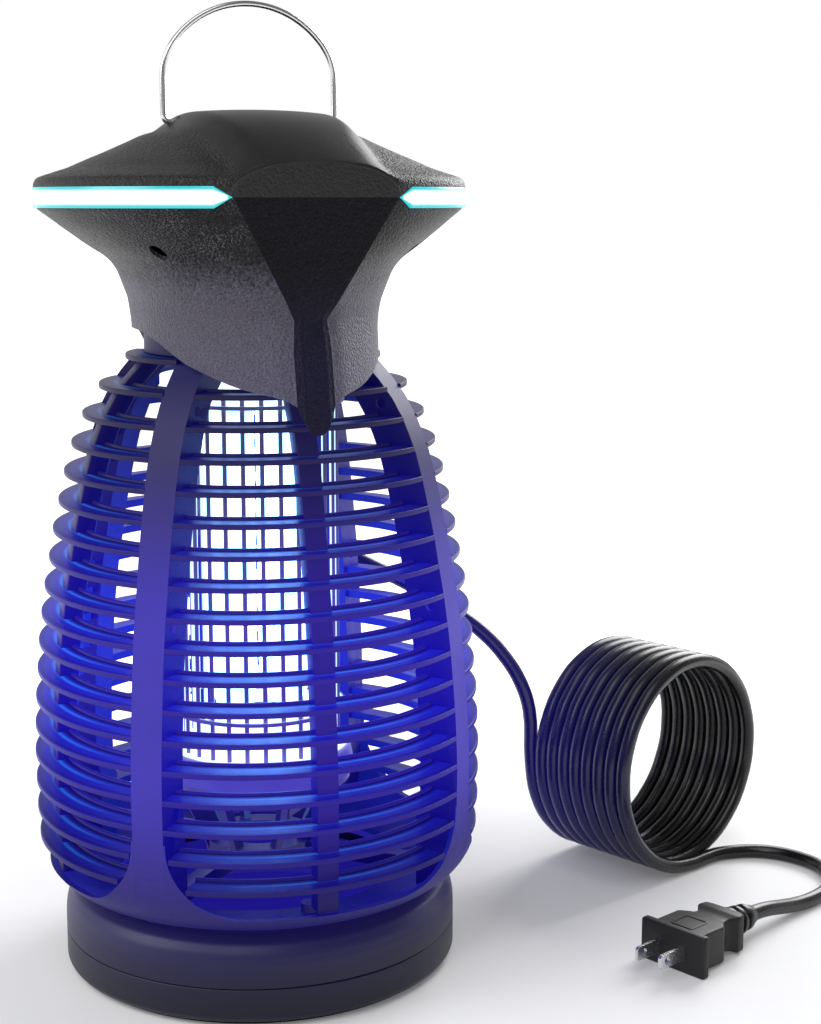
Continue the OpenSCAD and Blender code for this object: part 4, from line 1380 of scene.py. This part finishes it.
    def band(self, name: str, turn: float, node: str) -> bpy.types.Object:
        """One light band: a flat bar bent round the rim, pointed at both ends.

        The section's height shrinks to nothing over the last part of the bar.
        """
        reach, point = 127 / 2, 7.0
        tip = math.degrees(math.asin(point / (self.radius - 2)))
        a = np.concatenate([
            np.linspace(-reach - tip, -reach, 9), np.linspace(-reach, reach, 90)[1:-1],
            np.linspace(reach, reach + tip, 9),
        ])  # fmt: skip
        tall = 4.1 * np.clip((reach + tip - np.abs(a)) / tip, 0.02, 1)
        v = np.concatenate([np.linspace(-1, 1, 17), [1, -1]])
        bulge = 0.25 * np.sqrt(np.clip(1 - v[:17] ** 4, 0, 1))
        r = np.concatenate([self.radius + 0.03 + bulge, [self.radius - 4.2] * 2])
        angle = np.radians(a)[:, None]
        z = self.rim_z + v[None] * tall[:, None]
        grid = np.stack([r * np.cos(angle), r * np.sin(angle), z], axis=-1)
        ends = soft((np.abs(a) - reach - tip * 0.35) / (tip * 0.65))[:, None]
        away = np.maximum(np.abs(v)[None], ends)
        surface = Surface().grid(turned(grid.reshape(-1, 3), turn).reshape(grid.shape), caps=True, away=away)
        piece = surface.mesh(name, 40)
        dress(piece, BAND_LIGHT)
        return ready(piece, Body.LANTERN, "light_diffuser", node)

    def bail(self) -> bpy.types.Object:
        """The wire bail: foot, bend, leg, shoulder, crown and back down again."""
        half, shoulder, rise, leg, bend = 37.2, 25.2, 31.0, 17.5, 3.0
        inset = half - shoulder
        drop = (inset**2 - (rise - shoulder) ** 2) / (2 * (rise - shoulder))
        crown = rise + drop
        split = math.atan2(inset, drop)
        spring = self.pivot_z + leg

        def arc(cx: float, cz: float, r: float, first: float, last: float, n: int) -> Array:
            t = np.linspace(first, last, n)
            return np.column_stack([cx + r * np.cos(t), cz + r * np.sin(t)])

        right = np.concatenate([
            [[23.4, self.pivot_z], [29, self.pivot_z]],
            arc(half - bend, self.pivot_z + bend, bend, -math.pi / 2, 0, 9),
            arc(inset, spring, shoulder, 0, math.pi / 2 - split, 20),
            arc(0, spring - drop, crown, math.pi / 2 - split, math.pi / 2, 20)[1:],
        ])  # fmt: skip
        line = np.concatenate([right, (right * [-1, 1])[-2::-1]])
        path = np.column_stack([line[:, 0], np.zeros(len(line)), line[:, 1]])
        surface = Surface().bar(path, circle(1.25, 20), np.array([0, 1.0, 0]))
        for s in (-1, 1):
            foot = np.array([[s * 23.2, 0, self.pivot_z], [s * 23.5, 0, self.pivot_z],
                [s * 24.1, 0, self.pivot_z], [s * 24.4, 0, self.pivot_z]])
            head = np.array([circle(r, 20) for r in (1.5, 1.85, 1.85, 1.5)])
            surface.bar(foot, head, np.array([0, 1.0, 0]))
        piece = surface.mesh("bail_wire", 50)
        dress(piece, BAIL_WIRE)
        return ready(piece, Body.BAIL, "polished_wire", "bail_handle")

    def gland(self) -> bpy.types.Object:
        """The relief where the cord leaves the head: a ringed, tapered sleeve."""
        profile = rounded(
            [(-5, 0, 0), (-5, 5.2, 0), (-3.6, 6.5, 0), (0.1, 6.5, 0), (0.1, 9, 0.5), (2.6, 9, 0.8), (3.4, 6.8, 0.4),
             (8, 6.5, 0.4), (8.4, 5.4, 0.3), (10.4, 5.4, 0.3), (10.8, 6.2, 0.4), (15, 6, 0.4), (15.4, 5, 0.3),
             (17.4, 5, 0.3), (17.8, 5.6, 0.4), (22, 5.4, 0.4), (22.4, 4.4, 0.3), (29.5, 4.4, 0.5), (29.5, 0, 0)], 3
        )  # fmt: skip
        tilt = math.atan((self.flat_y - self.neck_b) / 47)
        axis = np.array([0, math.cos(tilt), -math.sin(tilt)])
        start = np.array([0, float(self.half_y(np.array(-35.0))), self.rim_z - 35])
        path = start + profile[:, :1] * axis
        a = np.linspace(0, 2 * math.pi, 40, endpoint=False)
        side, rise = np.array([1.0, 0, 0]), np.array([0, math.sin(tilt), math.cos(tilt)])
        ring = np.cos(a)[:, None] * side + np.sin(a)[:, None] * rise
        grid = path[:, None] + profile[:, 1][:, None, None] * ring[None]
        piece = Surface().grid(grid).mesh("cord_relief", 40)
        dress(piece, CORD_JACKET)
        return ready(piece, Body.LANTERN, "cord_jacket", "cord_gland")

    def build(self) -> None:
        """Builds and dresses the whole head."""
        self.cover()
        self.skirt()
        self.band("band_right", 0, "light_band_right")
        self.band("band_left", 180, "light_band_left")
        self.bail()


@dataclass
class Cage:
    """The cage: four broad ribs with a bowl, and four panels of thin fins."""

    radius: float = 97.0
    fin_z0: float = 60.7
    pitch: float = 12.1
    fins: int = 18
    fin_t: float = 2.2
    depth: float = 13.0
    rib_w: float = 14.0
    mid_w: float = 9.0
    corner: float = 30.0
    shape: tuple[tuple[float, float], ...] = (
        (0, 0.990), (0.06, 0.997), (0.17, 1), (0.23, 0.996), (0.29, 0.990),
        (0.35, 0.979), (0.41, 0.969), (0.47, 0.954), (0.53, 0.936), (0.59, 0.912),
        (0.65, 0.891), (0.70, 0.867), (0.76, 0.839), (0.82, 0.804), (0.88, 0.753),
        (0.94, 0.678), (1, 0.558),
    )  # fmt: skip

    def out(self, z: Array) -> Array:
        """Radius of the cage at a height."""
        u = (np.asarray(z, float) - self.fin_z0) / ((self.fins - 1) * self.pitch)
        xs, ys = np.array(self.shape).T
        return self.radius * np.interp(u, xs, ys)

    def bowl(self, z: float) -> float:
        """Radius of the cage at a height, with the bowl under its lowest fin."""
        if z >= self.fin_z0:
            return float(self.out(z))
        foot, low = 75.0, self.fin_z0 - 22.7
        t = max(0.0, (z - low) / (self.fin_z0 - low))
        return foot + 0.6 + (float(self.out(self.fin_z0)) - foot - 0.6) * math.sin(math.pi / 2 * t**0.62)

    def opening(self, z: float) -> float:
        """Half-width of a panel's opening at a height, which its corners narrow."""
        low = self.fin_z0 - 12.4
        r = float(self.out(self.fin_z0))
        half = r * math.sin(math.pi / 4 - math.asin(self.rib_w / 2 / r))
        if z > low + self.corner:
            return half
        return half - self.corner + math.sqrt(max(0, self.corner**2 - (low + self.corner - z) ** 2))

    def panel(self, name: str, turn: float, node: str) -> bpy.types.Object:
        """One panel: arcs of a lipped section between two ribs, and a thin middle rib."""
        surface = Surface()
        t = self.fin_t / 2
        low = self.fin_z0 - 12.4
        for k in range(self.fins):
            z = self.fin_z0 + k * self.pitch
            r = float(self.out(z))
            if z < low + self.corner:
                first = math.asin((self.opening(z - t) - 0.3) / r)
            lip = t + (1.1 if k < self.fins - 1 else 0.6)
            section = rounded(
                [(r - self.depth, -t, 0.3), (r - 0.2, -t, 0.5), (r, -t + 0.3, 0.5), (r, t - 0.3, 0.5),
                (r - 0.2, t, 0.5),
                 (r - 4, t, 0), (r - 6.5, t, 0), (r - 9, t, 0),
                 (r - self.depth + 1.8, t, 0.3), (r - self.depth + 1.5, lip, 0.45), (r - self.depth, lip, 0.45)], 3
            )  # fmt: skip
            if z < low + self.corner:
                reach = np.full(len(section), first)
            else:
                reach = math.pi / 4 - np.arcsin(self.rib_w / 2 / section[:, 0])
            s = np.linspace(-1, 1, 49)[:, None]
            a = s * reach[None]
            rr = section[None, :, 0]
            grid = np.stack([rr * np.sin(a), -rr * np.cos(a), z + section[None, :, 1] + 0 * a], axis=-1)
            surface.grid(grid, caps=True, depth=(r - section[None, :, 0]) / self.depth + 0 * a,
                arc=soft(1.3 - 1.3 * np.abs(s)) + 0 * a)
        z = np.linspace(self.fin_z0 - 12, self.fin_z0 + (self.fins - 1) * self.pitch, 60)
        outer = self.out(np.maximum(z, self.fin_z0)) - 6.5
        inner = outer - 8.5
        half = self.mid_w / 2
        rows = []
        for zz, a, b in zip(z, outer, inner):
            loop = rounded([(half, a, 0.6), (-half, a, 0.6), (-half, b, 0.6), (half, b, 0.6)], 3)
            rows.append(np.column_stack([loop[:, 0], -loop[:, 1], np.full(len(loop), zz)]))
        surface.grid(np.array(rows), caps=True, depth=np.ones((60, 1)), arc=np.zeros((60, 1)))
        surface.points = [turned(p, turn) for p in surface.points]
        piece = surface.mesh(name, 30)
        dress(piece, CAGE_FINS)
        return ready(piece, Body.LANTERN, "grille_plastic", node)

    def ribs(self) -> bpy.types.Object:
        """The CAD frame with its faces joined and its edges eased."""
        piece = merged_copy("cage_frame", "cage_ribs_bowl", 28, 0.4)
        for vertex in piece.data.vertices:
            x, y, z = (v * 1000 for v in vertex.co)
            over = math.hypot(x, y) / float(self.bowl(z))
            if over > 1:
                vertex.co.x, vertex.co.y = vertex.co.x / over, vertex.co.y / over
        piece = soften(piece, 0.35, 2)
        dress(piece, CAGE_RIBS)
        return ready(piece, Body.LANTERN, "cage_plastic")

    def build(self) -> None:
        """Builds the frame and the four panels."""
        self.ribs()
        for name, turn in (("front", FRONT), ("right", RIGHT), ("rear", REAR), ("left", LEFT)):
            self.panel(f"fins_{name}", turn, f"grille_{name}")


@dataclass
class LampColumn:
    """The lamp and the rod grid round it."""

    grid_r: float = 35.0
    rods: int = 28
    rod_d: float = 2.0
    low: float = 92.0
    high: float = 256.0
    gap: float = 24.0
    tube_d: float = 15.0
    tube_low: float = 118.3
    tube_high: float = 246.5

    def electrode(self, name: str, first: int, ring_z: float, node: str) -> bpy.types.Object:
        """Every second rod, and the ring that joins them."""
        surface = Surface()
        for k in range(first, self.rods, 2):
            path = np.array([[self.grid_r, 0, z] for z in (self.low, self.low + 0.5, self.high - 0.5, self.high)])
            tab = np.array([[self.grid_r, 0, ring_z], [self.grid_r + 2.6, 0, ring_z]])
            turn = 360 * k / self.rods
            sizes = np.array([circle(r, 16) for r in (0.7, 1, 1, 0.7)])
            surface.bar(turned(path, turn), sizes, turned(np.array([[0, 1.0, 0]]), turn)[0])
            surface.bar(turned(tab, turn),
                rounded([(0.6, 0.8, 0.2), (-0.6, 0.8, 0.2), (-0.6, -0.8, 0.2), (0.6, -0.8, 0.2)],
                    2), np.array([0, 0, 1.0]))
        r = self.grid_r + 2.8
        surface.lathe(rounded([(r - 0.8, ring_z - 0.8, 0.3), (r + 0.8, ring_z - 0.8, 0.3),
            (r + 0.8, ring_z + 0.8, 0.3), (r - 0.8, ring_z + 0.8, 0.3)], 2))
        piece = surface.mesh(name, 40)
        dress(piece, GRID_STEEL)
        return ready(piece, Body.LANTERN, "grid_steel", node)

    def tubes(self) -> bpy.types.Object:
        """Two U-shaped tubes side by side."""
        surface = Surface()
        for s in (-1, 1):
            a = np.linspace(math.pi, 2 * math.pi, 25)
            bottom = self.tube_low + self.gap / 2
            bend = np.column_stack([np.cos(a), np.sin(a)]) * self.gap / 2
            line = np.concatenate([[[-self.gap / 2, self.tube_high - bottom]], bend,
                [[self.gap / 2, self.tube_high - bottom]]])
            path = np.column_stack([np.full(len(line), s * self.gap / 2), line[:, 0], line[:, 1] + bottom])
            surface.bar(path, circle(self.tube_d / 2, 32), np.array([1.0, 0, 0]))
        piece = surface.mesh("lamp_tube_glass", 50)
        dress(piece, LAMP_GLASS)
        return ready(piece, Body.LANTERN, "lamp_glass", "lamp_tubes")

    def build(self) -> None:
        """Builds the column's visible pieces."""
        self.electrode("rods_live", 0, 247.0, "grid_live")
        self.electrode("rods_neutral", 1, 113.0, "grid_neutral")
        self.tubes()
        for node in ("grid_top_holder", "grid_bottom_holder", "lamp_base", "lamp_socket"):
            piece = soften(merged_copy(node, node + "_moulding", 28, 0.4), 0.4, 2)
            dress(piece, WHITE_HOLDER)
            ready(piece, Body.LANTERN, "white_plastic")
        basket = soften(merged_copy("lamp_support", "basket_spokes", 28, 0.4), 0.3, 2)
        dress(basket, BASKET)
        ready(basket, Body.LANTERN, "cage_plastic")


@dataclass
class Base:
    """The round base: a fixed collar, and the tray that drops out of it."""

    radius: float = 86.0
    seam: float = 16.5
    valley_z: float = 38.0
    valley_r: float = 75.0
    drop_r: float = 62.0
    bore: float = 83.2

    def collar(self) -> bpy.types.Object:
        """The collar, turned from a profile with a soft shoulder."""
        v, b = self.valley_z, self.bore
        outline = rounded([
            (self.drop_r, v - 3, 0.5), (self.drop_r, v, 0.5), (self.valley_r + 0.6, v, 0.2),
            (self.valley_r + 3.5, v - 1, 3),
            (self.radius - 3.4, v - 3.6, 5), (self.radius - 1.1, v - 7.2, 8), (self.radius - 0.2, v - 11.5, 12),
            (self.radius, v - 16, 12),
            (self.radius, self.seam + 0.3, 0.5), (b, self.seam + 0.3, 0.2), (b, v - 13.5, 1), (b - 3, v - 10, 2),
            (self.valley_r - 0.5, v - 3.4, 0.4), (self.valley_r - 2, v - 3, 0.2),
        ], 8)  # fmt: skip
        piece = Surface().lathe(outline, 160).mesh("base_collar_shell", 50)
        dress(piece, BASE_SHELL)
        return ready(piece, Body.LANTERN, "base_plastic", "base_collar")

    def tray(self) -> bpy.types.Object:
        """The tray: a shallow dish with a spigot that enters the collar."""
        s = self.bore - 0.5
        outline = rounded([
            (0, 1.5, 0), (self.radius - 3.5, 1.5, 1), (self.radius - 1, 2.5, 2), (self.radius, 4.5, 2),
            (self.radius, self.seam, 0.5), (s, self.seam, 0.2), (s, 23, 0.5), (s - 2.4, 23, 0.5),
            (s - 2.4, 7.5, 3), (s - 5, 3.9, 2), (0, 3.9, 0),
        ], 5)  # fmt: skip
        piece = Surface().lathe(outline, 160).mesh("tray_dish", 50)
        dress(piece, BASE_SHELL)
        return ready(piece, Body.TRAY, "base_plastic", "collection_tray")

    def build(self) -> None:
        """Builds the collar and the tray."""
        self.collar()
        self.tray()


@dataclass
class KeptNodes:
    """CAD solids whose shape is right, each given its finish."""

    finishes: dict[str, Finish] = field(
        default_factory=lambda: {
            "led_board_left": BOARD_GREEN, "led_board_right": BOARD_GREEN, "power_board": BOARD_GREEN,
            "head_screws": SCREW_STEEL, "cage_screws": SCREW_STEEL, "base_screws": SCREW_STEEL,
            "bail_bushes": BUSH_PLASTIC, "transformer": CORE_TAPE, "capacitors": CASE_BLUE,
            "switch_housing": SWITCH_BLACK, "switch_rocker": ROCKER_RED, "neck_plate": BASKET,
            "inner_wires": WIRE_RED, "foot_ring": FOOT_RUBBER,
        }
    )  # fmt: skip

    def build(self) -> None:
        """Dresses the nodes."""
        for node, finish in self.finishes.items():
            dress(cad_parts[node], finish)
            LOG.info("%s: CAD node in %s", node, finish.name)


@dataclass
class Studio:
    """A pale floor and plain soft light."""

    floor_size: float = 60.0

    def floor(self) -> None:
        """The floor, with painted shade that makes it a little greyer near the object, and painted light that keeps it
        white far from it.
        """
        half = self.floor_size / 2
        mesh = bpy.data.meshes.new("floor")
        mesh.from_pydata([(-half, -half, 0), (half, -half, 0), (half, half, 0), (-half, half, 0)], [], [(0, 1, 2, 3)])
        floor = bpy.data.objects.new("floor", mesh)
        bpy.context.scene.collection.objects.link(floor)
        bench = Bench("floor_paint", Roughness=0.6, Specular_IOR_Level=0.2)
        x, y, _ = bench.parts(bench.place())
        # Painted shade near the object, and painted light that turns the far floor white.
        far = (x * x + (y + 0.1) * (y + 0.1)).ramp(0.03, 0.35)
        bench.set(
            Base_Color=bench.mix(far, (0.72, 0.72, 0.73), (0.93, 0.93, 0.93)),
            Emission_Color=bench.tint((0.75, 0.75, 0.75), far * 0.85 + 0.15),
            Emission_Strength=1.0,
        )
        mesh.materials.append(bench.material)

    def softbox(self, name: str, place: Colour, aim: Colour, size: float, power: float) -> None:
        """One square area light that looks at a point."""
        data = bpy.data.lights.new(name, "AREA")
        data.size, data.energy = size, power
        light = bpy.data.objects.new(name, data)
        light.location = place
        light.rotation_euler = (Vector(aim) - Vector(place)).to_track_quat("-Z", "Y").to_euler()
        bpy.context.scene.collection.objects.link(light)

    def build(self) -> None:
        """Makes the floor, the surrounding light and the softboxes."""
        self.floor()
        sky = Sky("studio")
        x, y, z = sky.parts(sky.add("ShaderNodeTexCoord", output="Generated"))
        behind = (y + abs(x) * 0.35).ramp(-0.1, 0.45) * z.ramp(0.75, 0.1)
        seen = sky.add("ShaderNodeLightPath", output="Is Camera Ray")
        sky.set(Color=sky.mix(behind.most(seen), (0.22, 0.22, 0.225), (1, 1, 1)), Strength=1.0)
        bpy.context.scene.world = sky.world
        sun = bpy.data.lights.new("sky_sun", "SUN")
        sun.energy, sun.angle = 0.9, math.radians(50)
        lamp = bpy.data.objects.new("sky_sun", sun)
        lamp.rotation_euler = (math.radians(18), math.radians(-22), 0)
        bpy.context.scene.collection.objects.link(lamp)
        self.softbox("softbox_left", (-1.0, 0.0, 0.8), (0, 0, 0.3), 0.7, 7)
        self.softbox("softbox_front", (-0.7, -1.1, 1.1), (0, 0, 0.25), 0.5, 2.5)
        self.softbox("softbox_right", (0.9, 0.5, 0.75), (0, 0, 0.2), 0.7, 12)
        bpy.context.scene.view_settings.view_transform = "Standard"


def main() -> None:
    """Builds everything in order."""
    logging.basicConfig(level=logging.INFO, format="%(name)s %(message)s")
    Camera().build()
    plug, head = Plug(), Head()
    Cord().build(plug.relief(), plug.body(), plug.blades(), head.gland())
    head.build()
    Cage().build()
    LampColumn().build()
    Base().build()
    KeptNodes().build()
    Studio().build()


if __name__ == "__main__":
    main()
